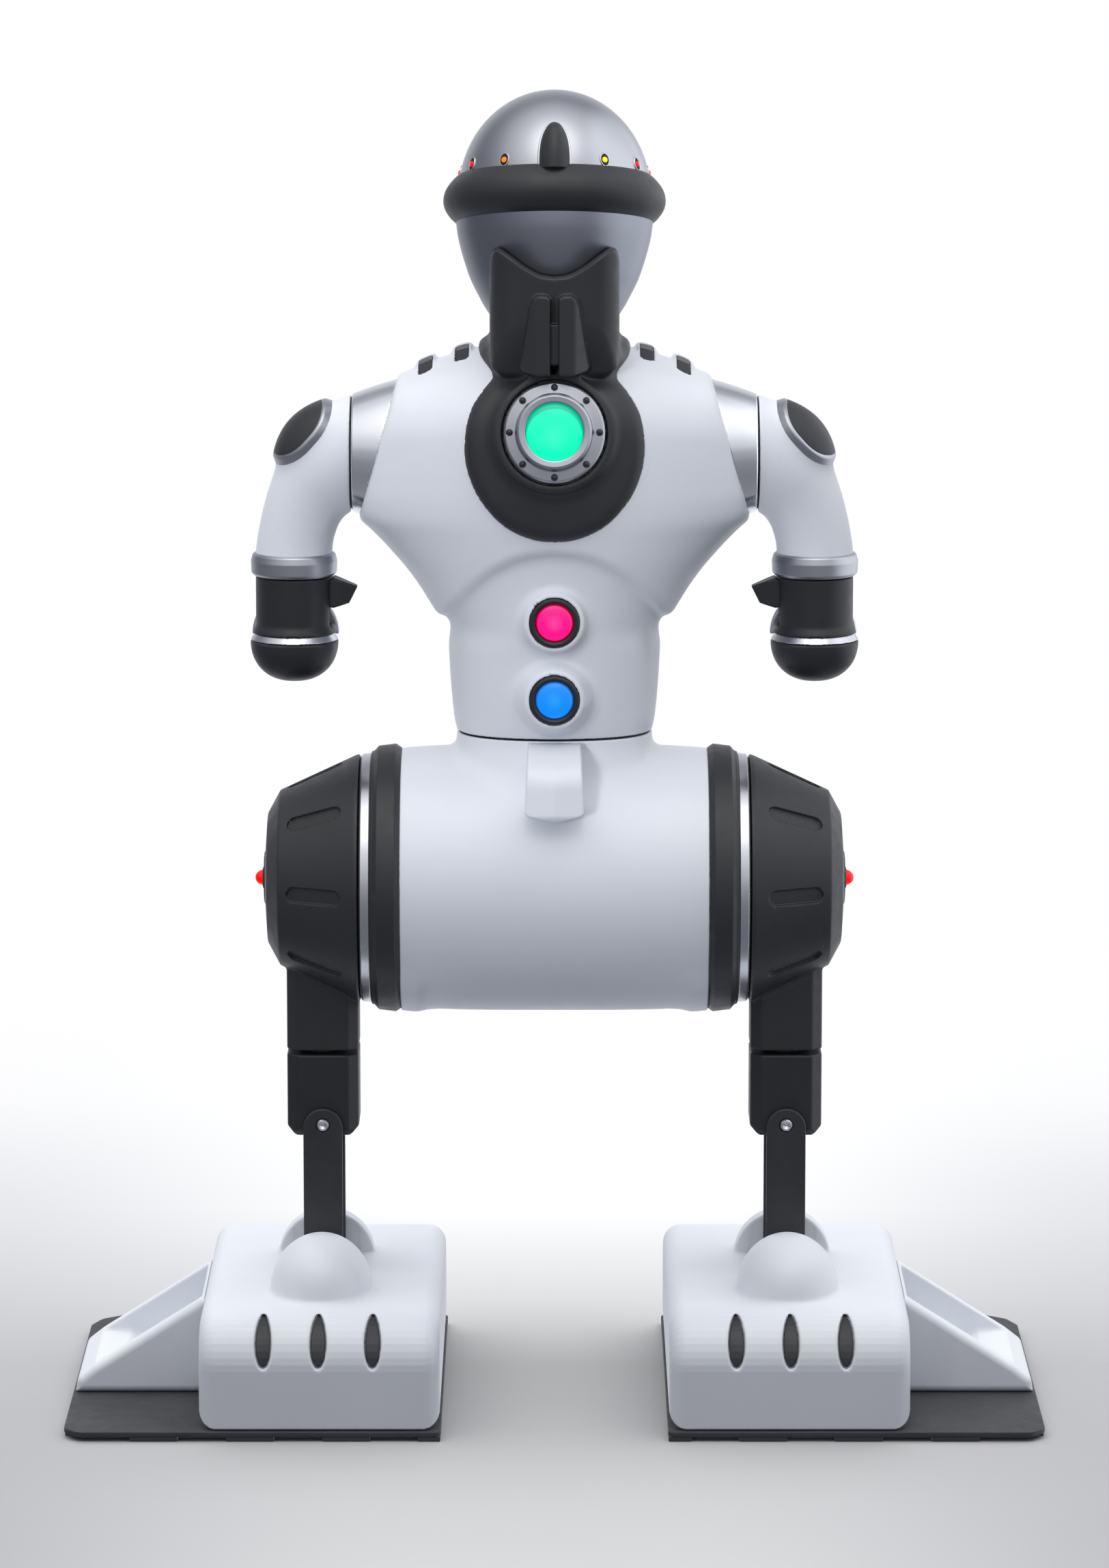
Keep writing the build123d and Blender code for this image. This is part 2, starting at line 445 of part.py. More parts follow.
arm = arm_loft(0.0)
arm_outer = arm
arm_in = arm_loft(2.2) - box(-71.0, -50, -30, 30, 290, 350)
arm = arm - arm_in
arm = arm + cyl("x", 5.0, -70.0, -57.0, (0, SHOULDER_Z)) - cyl("x", 1.5, -72, -56.5, (0, SHOULDER_Z))
both("arm_shell", max(arm.solids(), key=lambda s: s.volume))
pad = Pos(-85.4, 0, 318.0) * Rotation(0, -47, 0) * scale(Sphere(1), by=(14.6, 12.0, 6.4))
pad = pad - arm_outer
both("shoulder_pad", max(pad.solids(), key=lambda s: s.volume))
wring = cyl("z", 14.5, WRIST_BOT, WRIST_TOP, (-ARM_X, 0))
wring = fillet(wring.edges().filter_by(GeomType.CIRCLE), 1.6)
wring = wring - cyl("z", 6.06, WRIST_BOT - 1, WRIST_TOP + 1, (-ARM_X, 0))
both("wrist_ring", wring)

# ---------------------------------------------------------------- hands
TH = (-77.2, 271.4)
hand = cyl("z", 13.0, 259.4, WRIST_BOT - 0.4, (-ARM_X, 0)) + cyl("z", 6.0, WRIST_BOT - 1, WRIST_TOP - 0.2, (-ARM_X, 0))
hand = hand - box(-81.6, -60, -4.4, 4.4, 255, WRIST_BOT + 2)
hand = hand + cyl("y", 1.2, -8, 8, TH)
both("hand_body", max(hand.solids(), key=lambda s: s.volume))
trim = Pos(-ARM_X, 0, (259.4 + 256.9) / 2) * Cone(14.7, 13.1, 2.5)
back = cyl("y", 14.6, 10.4, 13.6, (-ARM_X, 257.2)) - box(-130, -50, -30, 30, 200, 258.0) - cyl("z", 13.0, 255, 280, (-ARM_X, 0))
trim = trim + back
trim = max(trim.solids(), key=lambda s: s.volume)
both("hand_trim", trim)
cap = (ball(14.9, 14.9, 14.2, (-ARM_X, 0, 256.9))) - box(-120, -60, -30, 30, 256.9, 300)
both("hand_cap", cap)
th_f = make_face(Polyline((-79.4, -4.1, 274.4), (-73.9, -4.1, 277.2), (-65.9, -4.1, 275.0), (-68.8, -4.1, 268.9), (-74.0, -4.1, 267.4), (-79.4, -4.1, 268.4), close=True))
thumb = extrude(th_f, amount=8.2, dir=(0, 1, 0))
thumb = thumb + cyl("y", 3.3, -4.1, 4.1, TH) - cyl("y", 1.27, -6, 6, TH)
both("thumb", thumb)

# ---------------------------------------------------------------- head
dome_out = [(31.9 * (1 - ((h - 2.0) / 34.7) ** 2) ** 0.5, h) for h in (8.2, 13.0, 18.0, 23.0, 27.5, 31.5, 34.5)] + [(4.6, 36.3), (0, 36.7)]


def dome_solid(cut):
    pts = [(max(r - cut * (r / 31.4), 0), 0, h - cut * (1 - r / 40)) for r, h in dome_out]
    pts[0] = (dome_out[0][0] - cut, 0, 8.2)
    f = make_face([Spline(*pts, tangents=((0, 0, 1), (-1, 0, 0))), Polyline(pts[-1], (0, 0, 8.2), pts[0])])
    return revolve(f, axis=Axis.Z)


dome_full = dome_solid(0.0)
dome = dome_full - dome_solid(2.0)
crest_h = ball(5.1, 8.0, 14.9, (0, -26.6, 8.0)) - box(-10, 10, -60, 0, -20, 8.2) - dome_full
leds = []
for az in LED_AZ:
    for s in (-1, 1):
        a = radians(-90 + s * az)
        spot = Location((30.8 * cos(a), 30.8 * sin(a), 10.0)) * Rotation(0, 0, degrees(a)) * Rotation(0, 78, 0)
        leds.append(HEAD * (spot * (Pos(0, 0, 0.2) * Cylinder(1.35, 2.4))))
        dome = dome - spot * (Pos(0, 0, 0.2) * Cylinder(1.35, 6.0))
save("dome_shell", HEAD * max(dome.solids(), key=lambda s: s.volume))
save("dome_crest", HEAD * max(crest_h.solids(), key=lambda s: s.volume))
save("dome_leds", *leds)
brim_pts = [(28.0, -6.9), (32.8, -6.9), (34.4, -5.6), (36.2, -2.6), (36.8, 0.4), (36.3, 3.6), (34.8, 6.2), (33.2, 7.8), (31.6, 8.2), (28.0, 8.2)]
brim = turned_h(brim_pts)
brim = fillet(brim.edges().filter_by(GeomType.CIRCLE).filter_by(lambda e: e.radius > 33.0), 0.8)
save("brim", HEAD * brim)
bw = bowl(0.0, -7.0)
bw_in = bowl(-2.2, -4.0) - Pos(0, 0, -50) * Box(80, 80, 12)
bw = bw - bw_in
bw = bw + cyl("z", 5.0, -57.0, -43.0) - cyl("z", 1.6, -62.0, -42.0)
save("head_bowl", HEAD * max(bw.solids(), key=lambda s: s.volume))
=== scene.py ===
import math

import bpy
import numpy as np
from mathutils import Matrix, Vector


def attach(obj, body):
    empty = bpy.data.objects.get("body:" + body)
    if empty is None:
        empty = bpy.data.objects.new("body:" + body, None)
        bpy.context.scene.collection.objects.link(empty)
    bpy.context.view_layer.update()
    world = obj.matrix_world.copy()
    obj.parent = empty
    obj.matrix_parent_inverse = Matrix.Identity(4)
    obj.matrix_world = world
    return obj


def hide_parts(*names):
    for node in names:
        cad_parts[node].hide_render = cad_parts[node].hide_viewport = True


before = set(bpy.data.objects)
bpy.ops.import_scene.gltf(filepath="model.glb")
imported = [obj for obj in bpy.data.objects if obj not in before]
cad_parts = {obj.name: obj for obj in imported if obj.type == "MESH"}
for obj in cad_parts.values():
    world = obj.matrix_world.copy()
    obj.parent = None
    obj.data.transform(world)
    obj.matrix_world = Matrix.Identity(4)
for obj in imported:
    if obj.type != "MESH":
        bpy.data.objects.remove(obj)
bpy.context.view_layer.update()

MM = 0.001
Q = 1.0      # coarser cells while trying things


# =====================================================================================
# solid shapes as distance functions (millimetres), and the mesher that skins them
# =====================================================================================
def smin(a, b, k):
    h = np.maximum(k - np.abs(a - b), 0.0) / k
    return np.minimum(a, b) - h * h * k * 0.25


def smax(a, b, k):
    return -smin(-a, -b, k)


def rmax(a, b, r):
    return np.minimum(np.maximum(a, b), -r) + np.hypot(np.maximum(a + r, 0), np.maximum(b + r, 0))


def rmin(a, b, r):
    return -rmax(-a, -b, r)


def step(x, a, b):
    t = np.clip((x - a) / (b - a), 0, 1)
    return t * t * (3 - 2 * t)


def poly(u, v, pts):
    pts = np.asarray(pts, float)
    d = np.full(u.shape, 1e18)
    s = np.ones(u.shape)
    j = len(pts) - 1
    for i in range(len(pts)):
        x1, y1 = pts[j]
        x2, y2 = pts[i]
        ex, ey = x1 - x2, y1 - y2
        wx, wy = u - x2, v - y2
        t = np.clip((wx * ex + wy * ey) / (ex * ex + ey * ey), 0, 1)
        bx, by = wx - ex * t, wy - ey * t
        d = np.minimum(d, bx * bx + by * by)
        c1, c2, c3 = v >= y2, v < y1, ex * wy > ey * wx
        s = np.where((c1 & c2 & c3) | (~c1 & ~c2 & ~c3), -s, s)
        j = i
    return s * np.sqrt(d)


def rrect(u, v, a, b, r):
    """Rounded rectangle with half sides a, b."""
    qx, qy = np.abs(u) - a + r, np.abs(v) - b + r
    return np.hypot(np.maximum(qx, 0), np.maximum(qy, 0)) + np.minimum(np.maximum(qx, qy), 0) - r


def rbox(x, y, z, c, half, r):
    q = [np.abs(p - o) - h + r for p, o, h in zip((x, y, z), c, half)]
    out = np.sqrt(sum(np.maximum(v, 0) ** 2 for v in q))
    return out + np.minimum(np.maximum(np.maximum(q[0], q[1]), q[2]), 0) - r


def ellipsoid(x, y, z, c, s):
    px, py, pz = (x - c[0]) / s[0], (y - c[1]) / s[1], (z - c[2]) / s[2]
    k = np.sqrt(px * px + py * py + pz * pz) + 1e-9
    g = np.sqrt((px / s[0]) ** 2 + (py / s[1]) ** 2 + (pz / s[2]) ** 2) + 1e-9
    return k * (k - 1) / g


def hermite(xs, ys, m=500):
    """A smooth table through the points, as dense arrays for np.interp."""
    xs, ys = np.asarray(xs, float), np.asarray(ys, float)
    h = np.diff(xs)
    d = np.diff(ys) / h
    t = np.empty(len(xs))
    t[0], t[-1] = d[0], d[-1]
    t[1:-1] = (d[:-1] * h[1:] + d[1:] * h[:-1]) / (h[1:] + h[:-1])
    X = np.linspace(xs[0], xs[-1], m)
    i = np.clip(np.searchsorted(xs, X) - 1, 0, len(h) - 1)
    s = (X - xs[i]) / h[i]
    Y = ((1 + 2 * s) * (1 - s) ** 2 * ys[i] + s * (1 - s) ** 2 * h[i] * t[i]
         + s * s * (3 - 2 * s) * ys[i + 1] + s * s * (s - 1) * h[i] * t[i + 1])
    return X, Y, np.gradient(Y, X)


def table(rows):
    rows = sorted(rows)
    z = [r[0] for r in rows]
    return hermite(z, [r[1] for r in rows]) + hermite(z, [r[2] for r in rows])


def column(x, y, z, tab, n=2.4, cy=0.0):
    """A column of rounded level sections: half width and half depth by height."""
    Za, A, dA, Zb, B, dB = tab
    a, da = np.interp(z, Za, A), np.interp(z, Za, dA)
    b, db = np.interp(z, Zb, B), np.interp(z, Zb, dB)
    u, v = np.abs(x) / a, np.abs(y - cy) / b
    g = (u ** n + v ** n) ** (1 / n) + 1e-6
    ru, rv = (u / g) ** (n - 1), (v / g) ** (n - 1)
    gx, gy = ru / a, rv / b
    gz = ru * u / a * da + rv * v / b * db
    return (g - 1) / np.sqrt(gx * gx + gy * gy + gz * gz)


def nets(f, lo, hi, h, block=6, lip=1.6, push=3, normals=True):
    """Skins the surface f = 0 with quads: naive surface nets, then moved on to the surface itself."""
    h = h * Q
    lo, hi = np.array(lo, float), np.array(hi, float)

    def ev(P):
        out = np.empty(len(P))
        for i in range(0, len(P), 400000):
            p = P[i:i + 400000]
            out[i:i + 400000] = f(p[:, 0], p[:, 1], p[:, 2])
        return out

    nb = np.maximum(np.ceil((hi - lo) / (h * block)).astype(int), 1)
    N = nb * block + 1
    c = [lo[i] + h * block * (np.arange(nb[i]) + .5) for i in range(3)]
    C = np.stack(np.meshgrid(*c, indexing="ij"), -1).reshape(-1, 3)
    v = ev(C).reshape(nb)
    near = np.abs(v) < h * block * 0.87 * lip + 0.3
    m, val = near, np.where(v < 0, -99.0, 99.0)
    for a in range(3):
        m, val = np.repeat(m, block, a), np.repeat(val, block, a)
    m, val = np.pad(m, ((0, 1),) * 3, mode="edge"), np.pad(val, ((0, 1),) * 3, mode="edge")
    for a in range(3):
        o = [slice(None)] * 3
        i = [slice(None)] * 3
        o[a], i[a] = slice(1, None), slice(None, -1)
        m2 = m.copy()
        m2[tuple(o)] |= m[tuple(i)]
        m = m2
    idx = np.argwhere(m)
    val[m] = ev(lo + idx * h)
    s = val < 0
    cnt = np.zeros(N - 1, np.int8)
    for dx in (0, 1):
        for dy in (0, 1):
            for dz in (0, 1):
                cnt += s[dx:N[0] - 1 + dx, dy:N[1] - 1 + dy, dz:N[2] - 1 + dz]
    cell = (cnt > 0) & (cnt < 8)
    ci = np.argwhere(cell)
    cid = -np.ones(N - 1, np.int64)
    cid[cell] = np.arange(len(ci))
    acc, w = np.zeros((len(ci), 3)), np.zeros(len(ci))
    for a in range(3):
        b, c2 = (a + 1) % 3, (a + 2) % 3
        for ob in (0, 1):
            for oc in (0, 1):
                o = np.zeros(3, int)
                o[b], o[c2] = ob, oc
                p0 = ci + o
                p1 = p0.copy()
                p1[:, a] += 1
                v0, v1 = val[tuple(p0.T)], val[tuple(p1.T)]
                cr = (v0 < 0) != (v1 < 0)
                t = np.where(cr, v0 / np.where(cr, v0 - v1, 1), 0)
                q = np.tile(o.astype(float), (len(ci), 1))
                q[:, a] += t
                acc += q * cr[:, None]
                w += cr
    V = lo + h * (ci + acc / w[:, None])
    faces = []
    for a in range(3):
        b, c2 = (a + 1) % 3, (a + 2) % 3
        i0, i1 = [slice(None)] * 3, [slice(None)] * 3
        i0[a], i1[a] = slice(None, -1), slice(1, None)
        s0, s1 = s[tuple(i0)], s[tuple(i1)]
        ch = s0 != s1
        e = np.argwhere(ch)
        ok = (e[:, b] > 0) & (e[:, c2] > 0) & (e[:, b] < N[b] - 1) & (e[:, c2] < N[c2] - 1)
        e = e[ok]
        inside = s0[tuple(e.T)]
        q = []
        for ob, oc in ((0, 0), (1, 0), (1, 1), (0, 1)):
            p = e.copy()
            p[:, b] -= ob
            p[:, c2] -= oc
            q.append(cid[tuple(p.T)])
        q = np.stack(q, -1)
        q[~inside] = q[~inside][:, ::-1]
        faces.append(q)
    F = np.concatenate(faces)
    F = F[(F >= 0).all(1)]

    def grad(P, e):
        g = np.empty_like(P)
        for a in range(3):
            d = np.zeros(3)
            d[a] = e
            g[:, a] = (ev(P + d) - ev(P - d)) / (2 * e)
        return g

    V0 = V.copy()
    for _ in range(push):
        g = grad(V, 0.02)
        g2 = (g * g).sum(1) + 1e-9
        st = -(ev(V) / g2)[:, None] * g
        ln = np.linalg.norm(st, axis=1)
        st *= np.minimum(1, 0.4 * h / (ln + 1e-9))[:, None]
        V = V + st
        off = V - V0
        ln = np.linalg.norm(off, axis=1)
        V = V0 + off * np.minimum(1, 0.75 * h / (ln + 1e-9))[:, None]
    Nn = None
    if normals:
        g = grad(V, 0.12)
        Nn = g / (np.linalg.norm(g, axis=1)[:, None] + 1e-9)
    return V, F, Nn


def flipped(V, F, Nn=None, axis=0):
    """The mirror image about the middle plane."""
    V = V.copy()
    V[:, axis] *= -1
    if Nn is not None:
        Nn = Nn.copy()
        Nn[:, axis] *= -1
    F = F[:, ::-1].copy() if isinstance(F, np.ndarray) else [list(reversed(f)) for f in F]
    return V, F, Nn


def obj_from(name, V, F, Nn=None, smooth=True):
    me = bpy.data.meshes.new(name)
    V = np.asarray(V, float) * MM
    if isinstance(F, np.ndarray):
        n, k = F.shape
        me.vertices.add(len(V))
        me.vertices.foreach_set("co", V.astype(np.float32).ravel())
        me.loops.add(n * k)
        me.loops.foreach_set("vertex_index", F.astype(np.int32).ravel())
        me.polygons.add(n)
        me.polygons.foreach_set("loop_start", np.arange(0, n * k, k, dtype=np.int32))
        me.update(calc_edges=True)
    else:
        me.from_pydata(V.tolist(), [], [list(map(int, f)) for f in F])
        me.update(calc_edges=True)
    me.validate()
    me.polygons.foreach_set("use_smooth", [smooth] * len(me.polygons))
    if Nn is not None and len(me.vertices) == len(Nn):
        me.normals_split_custom_set_from_vertices(Nn.astype(float).tolist())
    o = bpy.data.objects.new(name, me)
    bpy.context.scene.collection.objects.link(o)
    return o


PIECES = {}


def piece(name, data, mat, body, stands=(), crisp=False):
    """Makes the object, gives it its material, rides it on its body and hides the parts it stands for."""
    o = obj_from(name, *data)
    o.data.materials.append(mat)
    if crisp:
        m = o.modifiers.new("crisp", "WEIGHTED_NORMAL")
        m.weight = 100
        m.keep_sharp = True
    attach(o, body)
    if stands:
        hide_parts(*([stands] if isinstance(stands, str) else stands))
    PIECES[name] = o
    return o


def sides(name, data, mat, body, stands, crisp=False):
    """The left piece as drawn and its mirror on the right. body and stands are stems without _l/_r."""
    V, F, Nn = (tuple(data) + (None,))[:3]
    stands = [stands] if isinstance(stands, str) else list(stands)
    piece(name + "_l", (V, F, Nn), mat, body + "_l", [s + "_l" for s in stands], crisp)
    piece(name + "_r", flipped(V, F, Nn), mat, body + "_r", [s + "_r" for s in stands], crisp)


def join(*parts):
    """Several meshes as one."""
    Vs, Fs, n, normals = [], [], 0, []
    for p in parts:
        V, F = p[0], p[1]
        Vs.append(np.asarray(V, float))
        for f in (F.tolist() if isinstance(F, np.ndarray) else F):
            Fs.append([i + n for i in f])
        n += len(V)
        normals.append(p[2] if len(p) > 2 else None)
    Nn = None if any(x is None for x in normals) else np.concatenate(normals)
    F = Fs
    if all(len(f) == 4 for f in Fs):
        F = np.array(Fs)
    return np.concatenate(Vs), F, Nn


def with_mirror(data):
    return join(data, flipped(*((tuple(data) + (None,))[:3])))


# ------------------------------------------------------------------------ turned shapes
def fil(pts, closed=False, seg=6):
    """Rounds the corners of a profile. Each point is (a, b) or (a, b, radius)."""
    out = []
    n = len(pts)
    for i, p in enumerate(pts):
        r = p[2] if len(p) > 2 else 0
        if r <= 0 or (not closed and i in (0, n - 1)):
            out.append((p[0], p[1]))
            continue
        a, b, c = np.array(pts[i - 1][:2], float), np.array(p[:2], float), np.array(pts[(i + 1) % n][:2], float)
        u, w = (a - b), (c - b)
        lu, lw = np.linalg.norm(u), np.linalg.norm(w)
        u, w = u / lu, w / lw
        ang = math.acos(max(-1, min(1, float(u @ w))))
        t = min(r / math.tan(ang / 2), 0.48 * lu, 0.48 * lw)
        r = t * math.tan(ang / 2)
        bis = (u + w) / np.linalg.norm(u + w)
        cen = b + bis * (r / math.sin(ang / 2))
        s, e = b + u * t, b + w * t
        a0 = math.atan2(*(s - cen)[::-1])
        a1 = math.atan2(*(e - cen)[::-1])
        d = (a1 - a0 + math.pi) % (2 * math.pi) - math.pi
        for k in range(seg + 1):
            an = a0 + d * k / seg
            out.append((cen[0] + r * math.cos(an), cen[1] + r * math.sin(an)))
    return out


def lathe(prof, axis="z", origin=(0, 0, 0), seg=128, closed=False, frame_m=None, sign=1):
    """Turns a profile of (radius, position along the axis) about an axis. A closed profile makes a ring."""
    prof = [(max(r, 0.0), h) for r, h in prof]
    V, F, rings = [], [], []
    ca = [math.cos(2 * math.pi * k / seg) for k in range(seg)]
    sa = [math.sin(2 * math.pi * k / seg) for k in range(seg)]
    for r, h in prof:
        if r < 1e-6 and not closed:
            rings.append([len(V)])
            V.append((0, 0, h))
        else:
            rings.append(list(range(len(V), len(V) + seg)))
            V += [(r * ca[k], r * sa[k], h) for k in range(seg)]
    pairs = list(zip(range(len(rings) - 1), range(1, len(rings))))
    if closed:
        pairs.append((len(rings) - 1, 0))
    for i, j in pairs:
        A, B = rings[i], rings[j]
        for k in range(seg):
            k2 = (k + 1) % seg
            if len(A) == 1 and len(B) == 1:
                continue
            if len(A) == 1:
                F.append([A[0], B[k2], B[k]])
            elif len(B) == 1:
                F.append([A[k], A[k2], B[0]])
            else:
                F.append([A[k], A[k2], B[k2], B[k]])
    V = np.array(V, float)
    # profile direction decides which way the faces look: area of the profile, outward is away from it
    ar = sum(prof[i][0] * prof[(i + 1) % len(prof)][1] - prof[(i + 1) % len(prof)][0] * prof[i][1] for i in range(len(prof)))
    if ar > 0:
        pass
    else:
        F = [f[::-1] for f in F]
    if axis == "x":
        V = V[:, [2, 0, 1]]
    elif axis == "y":
        V = V[:, [1, 2, 0]]
    V = V + np.array(origin, float)
    if sign < 0:
        V, F, _ = flipped(V, F)
    if frame_m is not None:
        V = V @ np.array(frame_m)[:3, :3].T + np.array(frame_m)[:3, 3]
    if all(len(f) == 4 for f in F):
        F = np.array(F)
    return V, F, None


# ------------------------------------------------------------------------ prisms with bevelled edges
def prism(outline, lo, hi, plane="xy", bevel=0.4, seg=2):
    """A flat outline pulled between two levels, its edges bevelled by mesh code."""
    import bmesh
    bm = bmesh.new()
    m = {"xy": lambda a, b, c: (a, b, c), "xz": lambda a, b, c: (a, c, b), "yz": lambda a, b, c: (c, a, b)}[plane]
    bot = [bm.verts.new(m(a, b, lo)) for a, b in outline]
    top = [bm.verts.new(m(a, b, hi)) for a, b in outline]
    bm.faces.new(bot)
    bm.faces.new(top)
    n = len(outline)
    for i in range(n):
        bm.faces.new((bot[i], bot[(i + 1) % n], top[(i + 1) % n], top[i]))
    bmesh.ops.recalc_face_normals(bm, faces=bm.faces)
    if bevel > 0:
        sharp = [e for e in bm.edges if e.calc_face_angle(0) > 0.35]
        bmesh.ops.bevel(bm, geom=sharp, offset=bevel, segments=seg, profile=0.5, affect="EDGES", clamp_overlap=True)
        bmesh.ops.recalc_face_normals(bm, faces=bm.faces)
    V = np.array([v.co[:] for v in bm.verts])
    bm.verts.index_update()
    F = [[v.index for v in f.verts] for f in bm.faces]
    bm.free()
    return V, F, None


# =====================================================================================
# materials
# =====================================================================================
def srgb(h):
    c = [int(h[i:i + 2], 16) / 255 for i in (0, 2, 4)]
    return tuple(x / 12.92 if x <= 0.04045 else ((x + 0.055) / 1.055) ** 2.4 for x in c)


def shader(name):
    m = bpy.data.materials.new(name)
    m.use_nodes = True
    t = m.node_tree
    b = t.nodes["Principled BSDF"]
    return m, t, b


def node(t, kind, **sock):
    n = t.nodes.new(kind)
    for k, v in sock.items():
        n.inputs[k.replace("_", " ")].default_value = v
    return n


def coords(t, stretch=None):
    c = t.nodes.new("ShaderNodeTexCoord")
    if stretch is None:
        return c.outputs["Object"]
    mp = t.nodes.new("ShaderNodeMapping")
    mp.inputs["Scale"].default_value = stretch
    t.links.new(c.outputs["Object"], mp.inputs["Vector"])
    return mp.outputs["Vector"]


def moulded(name, colour, rough=0.4, spread=0.06, grain=1400, bump=0.03, mottled=0.04, wear=0.0, metal=0.0,
            coat=0.0, coat_rough=0.2, spec=0.5, stretch=None, grain_detail=3.0, wear_to=(0.8, 0.8, 0.82)):
    """Moulded plastic or finished metal: a little colour drift, uneven gloss, fine grain, and rubbed edges."""
    m, t, b = shader(name)
    L = t.links.new
    v = coords(t, stretch)
    big = node(t, "ShaderNodeTexNoise", Scale=38.0, Detail=3.0, Roughness=0.55)
    L(coords(t), big.inputs["Vector"])
    fine = node(t, "ShaderNodeTexNoise", Scale=float(grain), Detail=float(grain_detail), Roughness=0.6)
    L(v, fine.inputs["Vector"])
    ramp = t.nodes.new("ShaderNodeValToRGB")
    lo = [max(0, c * (1 - mottled)) for c in colour]
    hi = [min(1, c * (1 + mottled)) for c in colour]
    ramp.color_ramp.elements[0].position, ramp.color_ramp.elements[1].position = 0.3, 0.7
    ramp.color_ramp.elements[0].color = (*lo, 1)
    ramp.color_ramp.elements[1].color = (*hi, 1)
    L(big.outputs["Fac"], ramp.inputs["Fac"])
    col = ramp.outputs["Color"]
    if wear > 0:
        geo = t.nodes.new("ShaderNodeNewGeometry")
        edge = t.nodes.new("ShaderNodeMapRange")
        edge.inputs["From Min"].default_value = 0.52
        edge.inputs["From Max"].default_value = 0.62
        edge.inputs["To Min"].default_value = 0.0
        edge.inputs["To Max"].default_value = wear
        L(geo.outputs["Pointiness"], edge.inputs["Value"])
        mix = t.nodes.new("ShaderNodeMix")
        mix.data_type = "RGBA"
        L(edge.outputs["Result"], mix.inputs["Factor"])
        L(col, mix.inputs[6])
        mix.inputs[7].default_value = (*wear_to, 1)
        col = mix.outputs[2]
    L(col, b.inputs["Base Color"])
    mr = t.nodes.new("ShaderNodeMapRange")
    mr.inputs["From Min"].default_value, mr.inputs["From Max"].default_value = 0.3, 0.7
    mr.inputs["To Min"].default_value, mr.inputs["To Max"].default_value = rough - spread, rough + spread
    mid = node(t, "ShaderNodeTexNoise", Scale=210.0, Detail=4.0, Roughness=0.6)
    L(coords(t), mid.inputs["Vector"])
    L(mid.outputs["Fac"], mr.inputs["Value"])
    L(mr.outputs["Result"], b.inputs["Roughness"])
    bp = t.nodes.new("ShaderNodeBump")
    bp.inputs["Strength"].default_value = bump
    bp.inputs["Distance"].default_value = 0.0004
    L(fine.outputs["Fac"], bp.inputs["Height"])
    L(bp.outputs["Normal"], b.inputs["Normal"])
    b.inputs["Metallic"].default_value = metal
    b.inputs["Specular IOR Level"].default_value = spec
    b.inputs["Coat Weight"].default_value = coat
    b.inputs["Coat Roughness"].default_value = coat_rough
    return m


def lit(name, centre, radius, inner, outer, power, rim=None, axis="y", coat=0.6):
    """A glowing lens: brighter in the middle, deeper at its rim, with a clear glossy skin."""
    m, t, b = shader(name)
    L = t.links.new
    sub = t.nodes.new("ShaderNodeVectorMath")
    sub.operation = "SUBTRACT"
    L(coords(t), sub.inputs[0])
    sub.inputs[1].default_value = [c * MM for c in centre]
    flat = t.nodes.new("ShaderNodeVectorMath")
    flat.operation = "MULTIPLY"
    L(sub.outputs[0], flat.inputs[0])
    flat.inputs[1].default_value = {"y": (1, 0, 1), "x": (0, 1, 1), "n": (1, 1, 1)}[axis]
    ln = t.nodes.new("ShaderNodeVectorMath")
    ln.operation = "LENGTH"
    L(flat.outputs[0], ln.inputs[0])
    mr = t.nodes.new("ShaderNodeMapRange")
    mr.inputs["From Max"].default_value = radius * MM
    L(ln.outputs["Value"], mr.inputs["Value"])
    wob = node(t, "ShaderNodeTexNoise", Scale=330.0, Detail=2.0)
    L(coords(t), wob.inputs["Vector"])
    add = t.nodes.new("ShaderNodeMath")
    add.operation = "MULTIPLY_ADD"
    L(wob.outputs["Fac"], add.inputs[0])
    add.inputs[1].default_value = 0.06
    L(mr.outputs["Result"], add.inputs[2])
    ramp = t.nodes.new("ShaderNodeValToRGB")
    e = ramp.color_ramp.elements
    e[0].position, e[0].color = 0.05, (*inner, 1)
    e[1].position, e[1].color = 0.55, (*outer, 1)
    x = e.new(0.93)
    x.color = (*outer, 1)
    y = e.new(0.99)
    y.color = (*(rim or [c * 0.55 for c in outer]), 1)
    L(add.outputs[0], ramp.inputs["Fac"])
    L(ramp.outputs["Color"], b.inputs["Emission Color"])
    b.inputs["Emission Strength"].default_value = power
    dark = t.nodes.new("ShaderNodeMix")
    dark.data_type = "RGBA"
    dark.inputs["Factor"].default_value = 0.86
    L(ramp.outputs["Color"], dark.inputs[6])
    dark.inputs[7].default_value = (0, 0, 0, 1)
    L(dark.outputs[2], b.inputs["Base Color"])
    b.inputs["Roughness"].default_value = 0.3
    b.inputs["Specular IOR Level"].default_value = 0.15
    b.inputs["Coat Weight"].default_value = coat
    b.inputs["Coat Roughness"].default_value = 0.08
    return m


